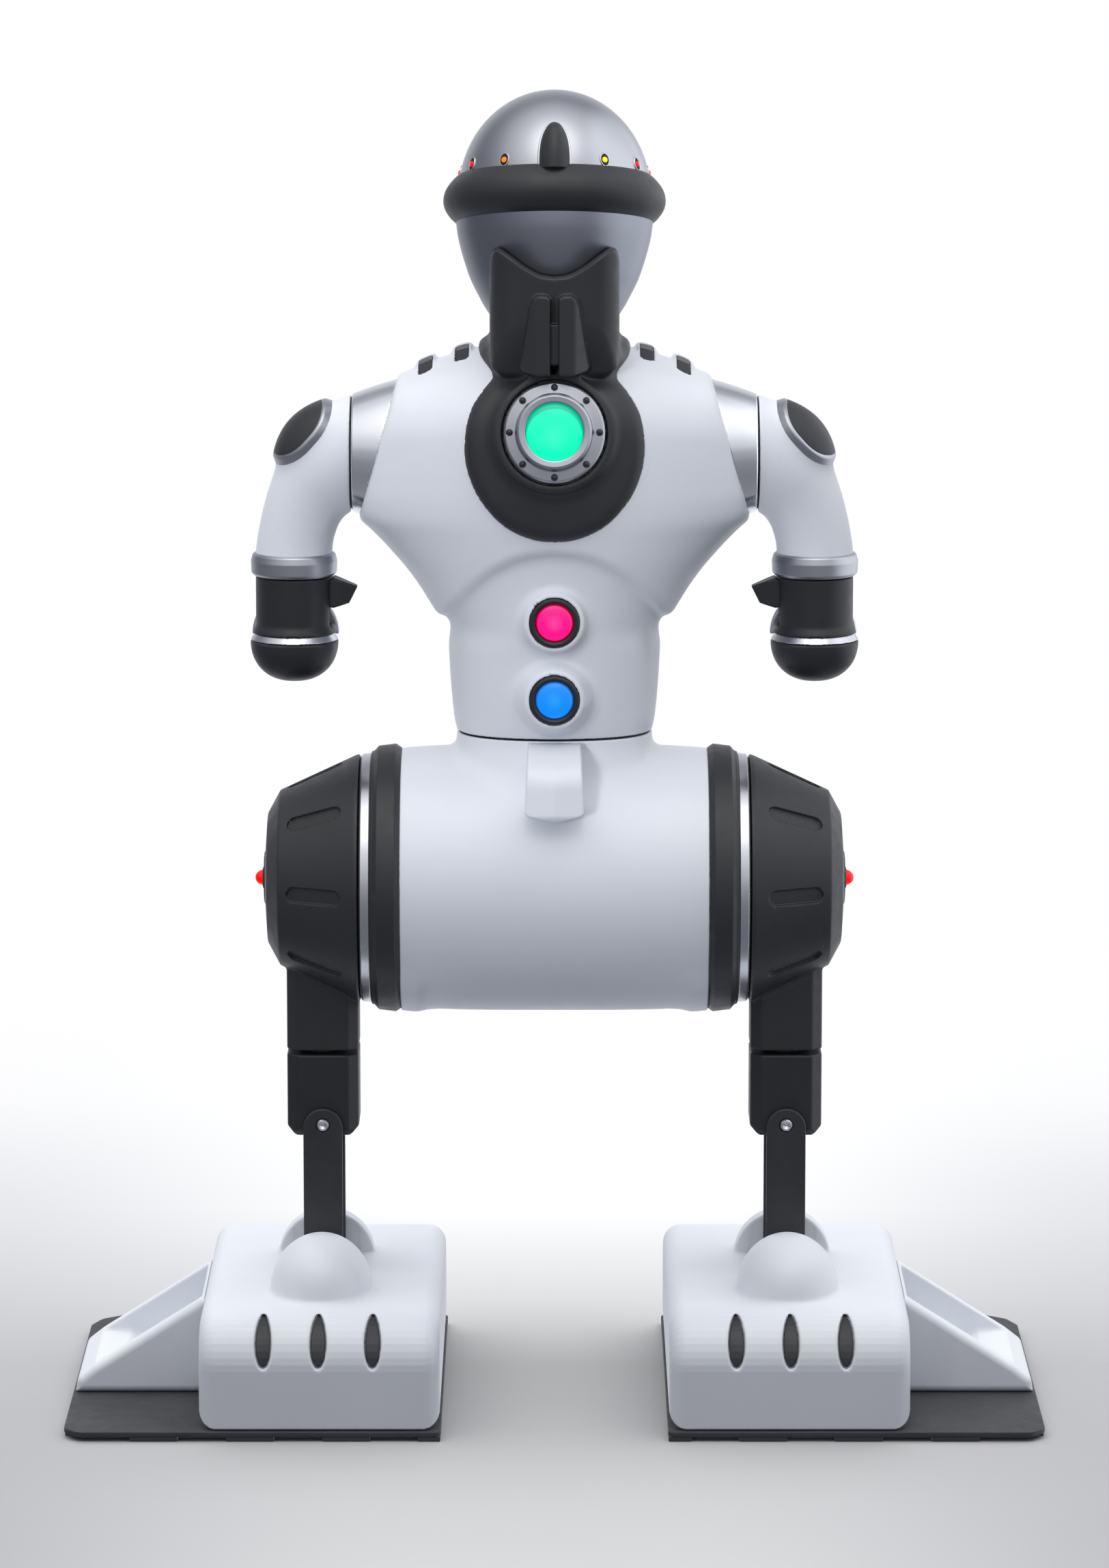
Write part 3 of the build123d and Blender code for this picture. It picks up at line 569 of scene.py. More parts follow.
WHITE = moulded("white_plastic", (0.775, 0.80, 0.86), 0.36, 0.05, 1700, 0.05, 0.012, wear=0.0, coat=0.12, coat_rough=0.25, spec=0.45)
WHITE2 = moulded("white_plastic_foot", (0.79, 0.815, 0.865), 0.38, 0.05, 1700, 0.06, 0.015, coat=0.1, coat_rough=0.28, spec=0.45)
DARK = moulded("charcoal_plastic", (0.026, 0.027, 0.0295), 0.44, 0.06, 1500, 0.10, 0.10, wear=0.10, spec=0.42, wear_to=(0.12, 0.12, 0.13))
DARKER = moulded("black_plastic", (0.018, 0.019, 0.021), 0.42, 0.06, 1500, 0.08, 0.10, wear=0.12, spec=0.45, wear_to=(0.10, 0.10, 0.11))
RUBBER = moulded("sole_rubber", (0.050, 0.051, 0.055), 0.55, 0.08, 900, 0.22, 0.14, wear=0.12, spec=0.35, wear_to=(0.09, 0.09, 0.095))
CHROME = moulded("satin_dome", (0.47, 0.48, 0.51), 0.30, 0.012, 420, 0.006, 0.012, metal=1.0, grain_detail=1.0)
BOWL = moulded("satin_bowl", (0.285, 0.297, 0.335), 0.36, 0.012, 420, 0.006, 0.015, metal=1.0, grain_detail=1.0)
STEEL = moulded("machined_ring", (0.60, 0.61, 0.64), 0.25, 0.03, 700, 0.02, 0.02, metal=1.0)
SATIN = moulded("satin_trim", (0.46, 0.47, 0.505), 0.37, 0.02, 800, 0.012, 0.02, metal=1.0)
SLEEVE = moulded("polished_sleeve", (0.88, 0.89, 0.91), 0.17, 0.015, 500, 0.006, 0.012, metal=1.0)
BRACKET = moulded("blackened_steel", (0.050, 0.051, 0.055), 0.40, 0.07, 1100, 0.12, 0.12, wear=0.25, metal=0.6, wear_to=(0.22, 0.22, 0.23))
BOLT = moulded("black_bolt", (0.030, 0.030, 0.034), 0.30, 0.05, 1200, 0.06, 0.08, wear=0.2, metal=0.4, wear_to=(0.15, 0.15, 0.16))
GAP = moulded("inner_black", (0.006, 0.006, 0.007), 0.7, 0.05, 800, 0.05, 0.1)
INNER = moulded("inner_moulding", (0.045, 0.046, 0.05), 0.5, 0.06, 900, 0.10, 0.12, wear=0.15)
WRAP = moulded("battery_wrap", (0.02, 0.09, 0.33), 0.28, 0.05, 500, 0.10, 0.06, coat=0.4, coat_rough=0.1)
BOARD = moulded("circuit_board", (0.012, 0.12, 0.045), 0.34, 0.06, 700, 0.20, 0.25, coat=0.3, coat_rough=0.15)
GREEN = lit("green_lens", (0, -46, 330.6), 9.9, (0.035, 1.0, 0.58), srgb("00FFC0"), 0.95, rim=(0.0, 0.55, 0.33))
PINK = lit("magenta_lens", (0, -36, 267.5), 6.25, (1.0, 0.05, 0.36), srgb("FF0A8C"), 0.95, rim=(0.55, 0.0, 0.02))
BLUE = lit("blue_lens", (0, -36, 241.6), 6.25, (0.02, 0.33, 1.0), srgb("0A8CFF"), 0.95, rim=(0.01, 0.16, 0.62))
RED = lit("red_led", (0, 0, 0), 500, srgb("FF0000"), srgb("FF0000"), 1.3, axis="n")
ORANGE = lit("orange_led", (0, 0, 0), 500, srgb("FF7A12"), srgb("FF7A12"), 1.3, axis="n")
YELLOW = lit("yellow_led", (0, 0, 0), 500, srgb("FFE600"), srgb("FFE600"), 1.3, axis="n")

# =====================================================================================
# frames and shared shapes
# =====================================================================================
TILT = math.radians(12.0)
HM = Matrix.Translation((0, 0, 403.9)) @ Matrix.Rotation(-TILT, 4, "X")
HR = np.array(HM)[:3, :3]
HT = np.array(HM)[:3, 3]
LAMP_Z, BTN1, BTN2, HIP_Z, LEG, WAIST = 331.3, 267.5, 241.6, 175.4, 78.2, 226.3


LM = Matrix.Translation((0, -41, LAMP_Z)) @ Matrix.Rotation(math.radians(-11.0), 4, "X") @ Matrix.Translation((0, 41, -LAMP_Z))
LR, LT = np.array(LM)[:3, :3], np.array(LM)[:3, 3]


def to_lamp(x, y, z):
    """Row-frame coordinates to those of the lamp, which leans back with the chest."""
    p = np.stack([x - LT[0], y - LT[1], z - LT[2]], -1) @ LR
    return p[..., 0], p[..., 1], p[..., 2]


def to_head(x, y, z):
    """Row-frame coordinates to the head's own."""
    p = np.stack([x - HT[0], y - HT[1], z - HT[2]], -1) @ HR
    return p[..., 0], p[..., 1], p[..., 2]


BOWL_P = [(32.7, -6.6), (32.4, -9.5), (31.9, -12.7), (30.8, -17.2), (29.4, -21.8), (27.8, -26.3), (25.6, -30.8), (23.1, -35.4), (19.8, -40.0),
          (15.0, -44.6), (9.0, -47.9), (0, -49.4)]
_t = hermite(list(range(len(BOWL_P))), [p[0] for p in BOWL_P], 60)
_u = hermite(list(range(len(BOWL_P))), [p[1] for p in BOWL_P], 60)
BOWL_S = list(zip(_t[1], _u[1]))

# ------------------------------------------------------------------------ torso
UPPER = table([(255, 35.0, 31.0), (260, 35.8, 31.2), (264, 37.8, 31.8), (266.9, 39.4, 32.4), (270.6, 41.7, 33.2), (275.5, 44.7, 34.3), (281.7, 49.2, 35.7),
               (287.9, 54.7, 37.0), (294.6, 61.3, 38.2), (299.5, 66.4, 39.0), (306, 69.0, 39.6), (314, 69.0, 39.8), (322, 68.0, 39.6), (333, 66.5, 38.2),
               (343, 64.5, 35.2), (350, 62.0, 31.6), (360, 58.0, 25.0)])
LOWER = table([(220, 32.2, 24.0), (WAIST, 32.7, 24.5), (229.5, 33.4, 25.4), (237, 34.3, 26.9), (248, 35.1, 28.6), (255.6, 35.4, 29.7), (263, 35.1, 30.6),
               (270, 38.6, 31.6), (281.7, 46.0, 33.2), (290, 52.0, 34.2), (300, 58.0, 35.0)])
TOPZ = hermite([0, 24.7, 34.6, 39.3, 46.6, 51.0, 52.6, 56, 70], [357.6, 355.2, 352.5, 350.9, 347.9, 346.2, 345.4, 343.4, 334.0])
ARCHZ = hermite([0, 9, 17, 23, 28, 33, 36.5, 39.5, 44, 60], [291.2, 290.0, 287.0, 283.2, 278.8, 273.2, 268.6, 265.4, 262.0, 256.0])
RIBS = (30.7, 42.9)


def rib_frame(x, y, z):
    """Plan distance from the nearest rib's middle line, and height above its flat top."""
    ax = np.abs(x)
    d = np.full(x.shape, 99.0)
    for rx in RIBS:
        d = np.minimum(d, np.hypot(ax - rx, np.maximum(np.abs(y) - 9.6, 0)))
    return d, z - (np.interp(ax, TOPZ[0], TOPZ[1]) + 1.25) + 0.42 * np.maximum(-y - 2.5, 0)


def torso_plain(x, y, z):
    ax = np.abs(x)
    up = column(x, y, z, UPPER, 2.35)
    tz, sl = np.interp(ax, TOPZ[0], TOPZ[1]), np.interp(ax, TOPZ[0], TOPZ[2])
    cut = (z - tz + 0.010 * y * y) / np.sqrt(1 + sl * sl + (0.02 * y) ** 2)
    up = smax(up, cut, 9.0)
    side = (ax - 64.65) * 0.9632 + (z - 301.0) * 0.2687
    up = rmax(up, side, 1.5)
    az, asl = np.interp(ax, ARCHZ[0], ARCHZ[1]), np.interp(ax, ARCHZ[0], ARCHZ[2])
    arch = (az - z) / np.sqrt(1 + asl * asl)
    up = smax(up, arch, 3.0)
    lo = smax(column(x, y, z, LOWER, 2.35), (z - 296.0), 2.0)
    return smin(up, lo, 5.0)


def torso_outer(x, y, z):
    f = torso_plain(x, y, z)
    ax = np.abs(x)
    for zb, base in ((BTN1, 31.6), (BTN2, 28.6)):
        r = np.hypot(x, z - zb)
        cone = rmax((r - (9.6 + (y + 35.4) * 0.46)) * 0.908, -35.3 - y, 0.7)
        cone = np.maximum(cone, y + 20)
        f = smin(f, cone, 2.2)
    d, up = rib_frame(x, y, z)
    dc = np.full(x.shape, 99.0)
    for rx in RIBS:
        dc = np.minimum(dc, np.hypot(ax - rx, 0.5 * np.maximum(np.abs(y) - 9.6, 0)))
    cone = rmax((dc - 2.75 + 0.7 * up) * 0.75, up * 0.96, 0.3)
    cone = np.maximum(cone, -up - 8.0)
    return smin(f, cone, 0.9)


DOOR_Z, DOOR_A, DOOR_B = 257.4, 15.4, 17.4


def torso_cut(x, y, z):
    """The torso's outside with its slots, bores and door opening, as one hollow shell."""
    f = torso_outer(x, y, z)
    inner = f + 2.6
    d, up = rib_frame(x, y, z)
    pocket = np.maximum(d - 2.25, -up - 1.8)
    f = rmax(f, -pocket, 0.25)
    f = np.maximum(f, 226.75 - z)
    f = np.where(z < 228, rmax(torso_outer(x, y, z), 226.75 - z, 0.5), f)
    for zb in (BTN1, BTN2):
        r = np.hypot(x, z - zb)
        f = rmax(f, -np.maximum(r - 8.35, y + 22), 0.25)
    door = np.where(y > 5, rrect(x, z - DOOR_Z, DOOR_A, DOOR_B, 3.2), 50.0)
    f = rmax(f, -door, 0.3)
    sh = np.hypot(y, z - 319.8)
    f = np.maximum(f, -np.maximum(sh - 13.0, 40 - np.abs(x)))
    for sx, sz in ((25.0, 338.0), (46.0, 306.0), (28.0, 284.0)):
        rr = np.hypot(np.abs(x) - sx, z - sz)
        f = rmax(f, -np.where(y > 5, np.maximum(rr - 2.6, -(inner + 0.2)), 9.0), 0.3)
    return np.maximum(f, -inner)


BOX_T = ((-70, -44, 224), (70, 44, 362))
V, F, Nn = nets(lambda x, y, z: rmax(torso_cut(x, y, z), y + 0.12, 0.3), (-70, -42, 224.4), (70, 2, 362), 0.75)
piece("torso_front", (V, F, Nn), WHITE, "torso", "torso_front_shell")
V, F, Nn = nets(lambda x, y, z: rmax(torso_cut(x, y, z), 0.12 - y, 0.3), (-70, -2, 224.4), (70, 44, 362), 0.75)
piece("torso_rear", (V, F, Nn), WHITE, "torso", "torso_rear_shell")


def door_shape(x, y, z):
    f = torso_outer(x, y, z)
    d = rrect(x, z - DOOR_Z, DOOR_A - 0.28, DOOR_B - 0.28, 3.0)
    g = rmax(np.maximum(f, -(f + 2.4)), d, 0.35)
    notch = ellipsoid(x, y, z, (0, 30.6, DOOR_Z + 12.6), (5.2, 2.6, 2.2))
    g = smax(g, -notch, 0.6)
    for k in range(4):
        g = rmax(g, -rbox(x, y, z, (0, 31.0, DOOR_Z - 5.0 - 2.6 * k), (7.5, 2.2, 0.55), 0.4), 0.2)
    return np.maximum(g, 8 - y)


piece("door_panel", nets(door_shape, (-17, 20, 238), (17, 38, 277), 0.5), WHITE, "torso", "battery_door")


def rib_shape(x, y, z):
    d, up = rib_frame(x, y, z)
    return rmax(np.maximum(up * 0.96 + 0.2, -up - 3.0), d - 2.12, 0.3)


V, F, Nn = nets(lambda x, y, z: np.maximum(rib_shape(x, y, z), x), (-47, -14, 343), (-26, 14, 358), 0.36)
piece("rib_bars", with_mirror((V, F, Nn)), DARK, "torso", "rib_inserts")


def screw_head(c, r=1.9, axis="y", depth=1.0, sign=1):
    prof = fil([(0, 0.55), (0.75, 0.55), (0.85, 0.0), (r - 0.5, 0.0), (r, 0.45, 0.2), (r, depth), (0, depth)])
    prof = [(a, b * sign) for a, b in prof]
    return lathe(prof, axis, c, 24)


# screws of the rear half, down in their recesses
screws = []
for sx, sz in ((25.0, 338.0), (46.0, 306.0), (28.0, 284.0)):
    for s in (-1, 1):
        # the shell's own depth at that place
        yy = np.linspace(10, 44, 400)
        fv = torso_outer(np.full(400, s * sx), yy, np.full(400, sz))
        y0 = yy[np.argmax(fv > 0)] - 2.5
        screws.append(screw_head((s * sx, y0 + 1.0, sz), 2.2, "y", 1.0, -1))
piece("rear_screws", join(*screws), BOLT, "torso", ())


# ------------------------------------------------------------------------ yoke and shield on the chest
M_X = [0, 4.6, 9.4, 15.0, 17.6, 19.0, 20.2, 21.3, 24]
M_Z = [382.0, 382.7, 385.2, 389.1, 390.7, 391.1, 390.4, 388.2, 380]
MZ = hermite(M_X, M_Z)
EGG = [(0, 296.4), (5.9, 297.0), (11.5, 298.8), (16.7, 301.7), (21.3, 306.0), (25.0, 310.9), (27.6, 316.4), (29.1, 322.0), (29.4, 327.8), (28.7, 333.5), (27.0, 339.0),
       (24.2, 344.0), (20.5, 348.2), (15.6, 351.6), (10.0, 353.7), (0, 354.8)]
EGG = [(a * 1.018, b - 2.0 * min(1, max(0, (335 - b) / 38.6)) - (0.6 if b > 340 else 0)) for a, b in EGG]
EGG_L = hermite(list(range(len(EGG))), [p[0] for p in EGG], 46)[1], hermite(list(range(len(EGG))), [p[1] for p in EGG], 46)[1]
EGG_P = list(zip(EGG_L[0], EGG_L[1])) + [(-a, b) for a, b in list(zip(EGG_L[0], EGG_L[1]))[-2:0:-1]]
FIN = [(1.4, 350.6), (1.4, 375.6), (2.4, 376.6), (5.4, 376.8), (7.2, 375.6), (8.3, 372.8), (9.0, 368.4), (10.0, 362.0), (11.0, 356.0), (11.6, 352.8), (10.4, 351.4), (6.0, 350.4)]


def yoke_shape(x, y, z):
    ax = np.abs(x)
    # upright neck
    col = rrect(x, y + 9.5, 21.3, 31.5, 9.5)
    mz, ms = np.interp(ax, MZ[0], MZ[1]), np.interp(ax, MZ[0], MZ[2])
    top = (z - mz) / np.sqrt(1 + ms * ms)
    neck = rmax(col, top, 0.9)
    rear = np.maximum(-(y + 6.0), 371.0 - z)      # free space behind the horns
    rear = np.minimum((y + 6.0), (z - 371.0))
    neck = rmax(neck, rear, 1.5)
    neck = np.maximum(neck, np.hypot(np.maximum(ax - 15.3, 0), np.maximum(355.2 - z, 0)) - 6.0)
    n = 2.6
    u, v = ax / 25.2, np.abs(y + 2.0) / 30.5
    g = (u ** n + v ** n) ** (1 / n) + 1e-6
    plan = (g - 1) / np.sqrt(((u / g) ** (n - 1) / 25.2) ** 2 + ((v / g) ** (n - 1) / 30.5) ** 2)
    lip = rmax(plan, torso_plain(x, y, z) - 2.6, 2.0)
    neck = smin(neck, np.maximum(lip, 341.0 - z), 3.4)
    # its foot leans back into the shield
    neck = rmax(neck, (-13.0 * (y + 41.0) - 5.0 * (z - 362.0)) / 13.93, 2.0)
    # fins
    fin = poly(ax, z, FIN)
    front = smax(-(y + 46.4), (-(y + 46.4) + (ax - 6.4) * 1.15) * 0.656, 1.2)
    fin = rmax(np.maximum(fin, y + 36.0), front, 0.8)
    web = rbox(x, y, z, (0, -39.5, 360.6), (1.8, 4.6, 6.6), 0.3)
    neck = smin(neck, np.minimum(fin, web), 0.5)
    # shield
    up = torso_plain(x, y, z)
    egg = poly(x, z, EGG_P)
    sh = smax(egg * 0.97, up - 3.0, 5.0)
    sh = np.maximum(sh, y + 10)
    f = smin(neck, sh, 3.5)
    # seat of the lamp and its groove
    lx, ly, lz = to_lamp(x, y, z)
    rl = np.hypot(lx, lz - LAMP_Z)
    seat = rmax(rl - 19.6, -42.6 - ly, 1.2)
    f = smin(f, np.maximum(seat, y + 30), 4.5)
    f = rmax(f, -np.maximum(rl - 17.35, ly + 41.3), 0.5)
    # room for the bowl
    hx, hy, hz = to_head(x, y, z)
    f = rmax(f, -(poly(np.hypot(hx, hy), hz, BOWL_CLEAR)), 0.35)
    # it lies on the torso
    f = np.maximum(f, -(torso_outer(x, y, z) + 0.02))
    f = np.maximum(f, 294 - z)
    f = np.maximum(f, -np.maximum(np.hypot(x, y - 6) - 13, 335 - z) * 1.0)
    return f


BOWL_CLEAR = [(r, h) for r, h in BOWL_S] + [(-5, -49.4), (-5, 30), (32.7, 30)]
BOWL_CLEAR = [(r, h - 0.7 * (1 - min(max(r, 0) / 34, 1)) if i < len(BOWL_S) else h) for i, (r, h) in enumerate(BOWL_CLEAR)]
BOWL_CLEAR = [(r + (0.7 if 0 < r else 0), h) for r, h in BOWL_CLEAR]
piece("chest_yoke_shell", nets(yoke_shape, (-32, -50, 293), (32, 24, 395), 0.62), DARK, "torso", "chest_yoke")

# ------------------------------------------------------------------------ lamp
ring = fil([(9.6, -43.4), (9.6, -47.5, 0.2), (10.0, -47.7, 0.2), (11.6, -47.9, 0.4), (12.2, -47.5, 0.5), (12.75, -45.0, 0.5), (16.0, -44.5, 0.4), (16.6, -43.7, 0.4), (16.6, -41.6), (9.6, -41.6)], True)
piece("lamp_flange", lathe(ring, "y", (0, 0, LAMP_Z), 160, True, LM), SATIN, "torso", "lamp_ring", True)
bolts, sockets = [], []
for k in range(8):
    a = math.radians(45 * k + 90)
    c = (14.75 * math.cos(a), 0, LAMP_Z + 14.75 * math.sin(a))
    bolts.append(lathe([(0, -45.85), (0.45, -45.8), (0.8, -45.6), (1.05, -45.25), (1.17, -44.8), (1.2, -44.2), (0, -44.2)], "y", c, 28, False, LM))
piece("lamp_studs", join(*bolts), BOLT, "torso", "lamp_bolts", True)
prof = [(0, -48.3), (2.5, -48.22), (5.0, -47.98), (7.2, -47.6), (8.6, -47.2), (9.25, -46.8), (9.5, -46.2), (9.5, -43.5), (0, -43.5)]
piece("lamp_glass", lathe(prof, "y", (0, 0, LAMP_Z), 128, False, LM), GREEN, "torso", "lamp_lens", True)

# ------------------------------------------------------------------------ buttons
bez = fil([(6.28, -27), (6.28, -35.4, 0.3), (7.2, -36.1, 0.5), (8.2, -35.7, 0.5), (8.28, -27)], True)
piece("button_rims", join(lathe(bez, "y", (0, 0, BTN1), 96, True), lathe(bez, "y", (0, 0, BTN2), 96, True)), DARKER, "torso", "button_bezels", True)
cap = fil([(0, -36.9), (2.0, -36.84), (4.0, -36.5), (5.3, -36.05), (6.0, -35.4, 0.3), (6.17, -34.6), (6.17, -27.7), (0, -27.7)])
piece("button_cap_magenta", lathe(cap, "y", (0, 0, BTN1), 96), PINK, "magenta_button", "button_magenta", True)
piece("button_cap_blue", lathe(cap, "y", (0, 0, BTN2), 96), BLUE, "blue_button", "button_blue", True)


# ------------------------------------------------------------------------ sleeves at the shoulders
SLV = hermite([44, 50, 52.6, 57.5, 62.5, 67.5], [26.6, 25.1, 24.45, 23.1, 21.45, 19.6])


def sleeve_shape(x, y, z):
    r = np.hypot(y, z - 319.8)
    R, dR = np.interp(-x, SLV[0], SLV[1]), np.interp(-x, SLV[0], SLV[2])
    f = (r - R) / np.sqrt(1 + dR * dR)
    f = rmax(f, -x - 67.45, 0.45)
    f = np.maximum(f, -(r - 15.5))
    side = (-x - 64.65) * 0.9632 + (z - 301.0) * 0.2687
    return np.maximum(f, -(side + 0.25))


V, F, Nn = nets(sleeve_shape, (-69.6, -27, 292), (-44, 27, 348), 0.6)
piece("shoulder_collars", with_mirror((V, F, Nn)), SLEEVE, "torso", "shoulder_sleeves")
# painted shade: a near-black ring set in the gap between sleeve and arm so the seam reads dark
gap_shade_ring = lathe(fil([(14.0, -67.2), (18.7, -67.2), (18.7, -67.75), (14.0, -67.75)], True), "x", (0, 0, 319.8), 96, True)
piece("shoulder_gap_shade", with_mirror(gap_shade_ring), GAP, "torso", ())

# ------------------------------------------------------------------------ pelvis
NECKP = table([(195, 46.0, 34.0), (203, 42.0, 32.6), (209, 37.6, 30.4), (214, 35.2, 28.4), (219, 33.6, 26.4), (223, 32.9, 25.0), (226.3, 32.7, 24.5), (232, 32.7, 24.5)])


def pelvis_outer(x, y, z):
    ax = np.abs(x)
    r = np.hypot(y, z - HIP_Z)
    R = 43.7 + 1.4 * (1 - (np.minimum(ax, 53) / 51.6) ** 4)
    low = step(HIP_Z - z, 22.0, 36.0)
    R = R + low * (1.15 * step(ax, 41.5, 47.0) - 0.35 * (1 - step(ax, 38.0, 42.5)))
    barrel = r - R
    neck = column(x, y, z, NECKP, 2.35)
    neck = smax(neck, 196 - z, 3.0)
    f = smin(barrel, neck, 3.6)
    return f


def pelvis_shape(x, y, z):
    f = pelvis_outer(x, y, z)
    o = f
    f = rmax(f, np.abs(x) - 51.55, 0.5)
    f = rmax(f, z - 226.05, 0.5)
    inner = np.maximum(o + 2.8, np.abs(x) - 48.5)
    inner = np.maximum(inner, z - 223.2)
    f = np.maximum(f, -inner)
    r = np.hypot(y, z - HIP_Z)
    f = np.maximum(f, -(r - 16.6 + (np.abs(x) < 40) * 50))
    return np.maximum(f, -(np.hypot(x, y) - 8.6 + (z < 215) * 50))


piece("pelvis_body", nets(pelvis_shape, (-54, -48, 127), (54, 48, 228), 0.85), WHITE, "pelvis", "pelvis_shell")
CREST = [(-8.7, 225.6), (8.7, 225.6), (9.0, 223.0), (9.9, 205.4), (9.0, 204.4), (0, 201.9), (-9.0, 204.4), (-9.9, 205.4), (-9.0, 223.0)]


def crest_shape(x, y, z):
    ax = np.abs(x)
    out = poly(x, z, CREST)
    f1 = (-(y + 47.6) + (z - 206.0) * 0.20 + ax * 0.13) * 0.97        # broad front, ridged down the middle
    f2 = (-(y + 30.0) + (z - 225.6) * 1.45 + ax * 0.10) * 0.57         # sloping top
    f2 = (-(y + 38.5) + (z - 221.5) * 2.3) * 0.40
    f = rmax(out, smax(f1, f2, 5.0), 0.8)
    f = rmax(f, (-(y + 47.6) - (z - 203.6) * 0.55 + ax * 0.10) * 0.87, 0.6)
    f = np.maximum(f, y + 16)
    return np.maximum(f, -(pelvis_outer(x, y, z) + 1.4))


piece("pelvis_keel", nets(crest_shape, (-12, -51, 199), (12, -14, 228), 0.42), WHITE, "pelvis", "pelvis_crest")
# painted shade: a near-black band set just inside the seam between torso and pelvis so the seam reads dark
seam_shade_outline = [(32.0 * abs(math.cos(t)) ** (2 / 2.35) * (1 if math.cos(t) > 0 else -1), 23.8 * abs(math.sin(t)) ** (2 / 2.35) * (1 if math.sin(t) > 0 else -1))
          for t in [2 * math.pi * (i + .5) / 96 for i in range(96)]]
piece("waist_seam_shade", prism(seam_shade_outline, 225.2, 226.6, bevel=0), GAP, "pelvis", ())

bezel = fil([(40.0, 51.5), (43.9, 51.5, 0.3), (45.2, 53.4, 0.5), (44.5, 59.2, 0.5), (42.9, 60.6, 0.4), (42.6, 61.5), (40, 61.5)], True)
V, F, Nn = lathe(bezel, "x", (0, 0, HIP_Z), 192, True)
piece("hip_collars", with_mirror((V, F, Nn)), DARK, "pelvis", "hip_bezels", True)
hring = fil([(38.5, 61.3), (41.9, 61.3, 0.2), (42.1, 61.9, 0.3), (41.75, 64.5, 0.4), (41.0, 65.15, 0.3), (16.0, 65.15), (16.0, 61.3)], True)
V, F, Nn = lathe(hring, "x", (0, 0, HIP_Z), 192, True)
piece("hip_bands", with_mirror((V, F, Nn)), STEEL, "pelvis", "hip_rings", True)

# ------------------------------------------------------------------------ hip housings
HOUSE = fil([(65.55, -6), (65.55, 41.7, 0.5), (66.9, 41.35, 0.5), (92.4, 29.6, 1.6), (96.5, 22.0, 1.4), (97.35, 10.6, 0.9), (97.4, 8.9), (97.85, 8.7, 0.15), (97.9, 3.8), (98.5, 3.5, 0.3), (98.6, -6)], True, 5)
SLOPE = math.hypot(27.0, 12.0)


def block_section(x, y, w, d, c, r):
    """An upright bar with broad chamfers at its four corners."""
    u, v = np.abs(x + LEG), np.abs(y)
    f = np.maximum(u - w, v - d)
    ch = (u - w + v - d + c) * 0.7071
    return rmax(f, ch, r)


def housing_shape(x, y, z):
    r = np.hypot(y, z - HIP_Z)
    f = poly(-x, r, HOUSE)
    cone = f
    th = np.arctan2(y, z - HIP_Z)                     # 0 at the top
    k = np.round((np.degrees(th) + 180) / 45.0)
    dth = th - np.radians(-180 + 45 * k)
    s = np.abs(-x - 80.3) - 6.4
    d2 = np.hypot(np.maximum(s, 0), dth * r * 1.0) - 2.55
    pocket = rmax(d2, -(cone + 1.15), 0.35)
    pocket = np.maximum(pocket, 10 - r)
    f = rmax(f, -pocket, 0.3)
    bl = block_section(x, y, 12.1, 13.0, 3.6, 0.5)
    bl = np.maximum(rmax(bl, 118.35 - z, 0.5), z - 172)
    f = smin(f, bl, 1.0)
    f = np.maximum(f, -(np.hypot(x + LEG, y) - 8.1 + (z > 127.5) * 50))
    return f


V, F, Nn = nets(housing_shape, (-101, -44, 116), (-63, 44, 219), 0.62)
sides("hip_pod", (V, F, Nn), DARK, "hip", "hip_housing")
bulb = [(0, 101.0), (0.9, 100.88), (1.6, 100.45), (2.2, 99.7), (2.55, 98.9), (2.65, 98.2), (2.65, 97.7), (0, 97.7)]
sides("hip_lamp", lathe(bulb, "x", (0, 0, HIP_Z), 48, sign=-1), RED, "hip", "hip_led", True)


# ------------------------------------------------------------------------ thighs and shins
def thigh_shape(x, y, z):
    f = block_section(x, y, 12.1, 13.0, 3.6, 0.5)
    f = rmax(f, z - 116.75, 0.6)
    u, v = np.abs(x + LEG), np.abs(y)
    f = rmax(f, 88.6 - z, 0.3)
    f = rmax(f, (u - 12.1 + 88.6 + 3.2 - z) * 0.7071, 0.4)
    f = rmax(f, (v - 13.0 + 88.6 + 2.4 - z) * 0.7071, 0.4)
    f = np.minimum(f, np.maximum(np.hypot(x + LEG, y) - 7.95, np.maximum(z - 126.5, 110 - z)))
    for s in (-1, 1):
        f = np.maximum(f, -(np.hypot(x + LEG, z - 93.2) - 1.6))
    return f


V, F, Nn = nets(thigh_shape, (-92, -15, 86), (-64, 15, 128.5), 0.5)
sides("thigh_bar", (V, F, Nn), DARKER, "thigh", "thigh_block")


def shin_shape(x, y, z):
    u = x + LEG
    cap = np.where(z > 92.2, np.hypot(u, z - 92.2), np.where(z < 45.6, np.hypot(u, z - 45.6), np.abs(u))) - 6.6
    plates = rmax(cap, np.abs(np.abs(y) - 14.55) - 1.25, 0.35)
    web = rbox(u, y, z, (0, 0, 69.5), (5.4, 13.8, 11.6), 0.8)
    web = np.maximum(web, -rbox(u, y, z, (0, 0, 69.5), (3.2, 11.3, 20), 0.5))
    holes = np.full(x.shape, 99.0)
    for zz in (62.0, 68.2, 74.4):
        for yy in (-8.0, 0.0, 8.0):
            holes = np.minimum(holes, np.hypot(y - yy, z - zz) - 1.35)
    web = rmax(web, -holes, 0.25)
    f = smin(plates, web, 1.0)
    f = np.maximum(f, -(np.hypot(u, z - 93.2) - 1.55))
    f = rmax(f, -np.maximum(np.hypot(u, z - 93.2) - 2.35, 15.0 - np.abs(y)), 0.15)
    f = np.maximum(f, -(np.hypot(u, z - 45.6) - 3.08))
    return f


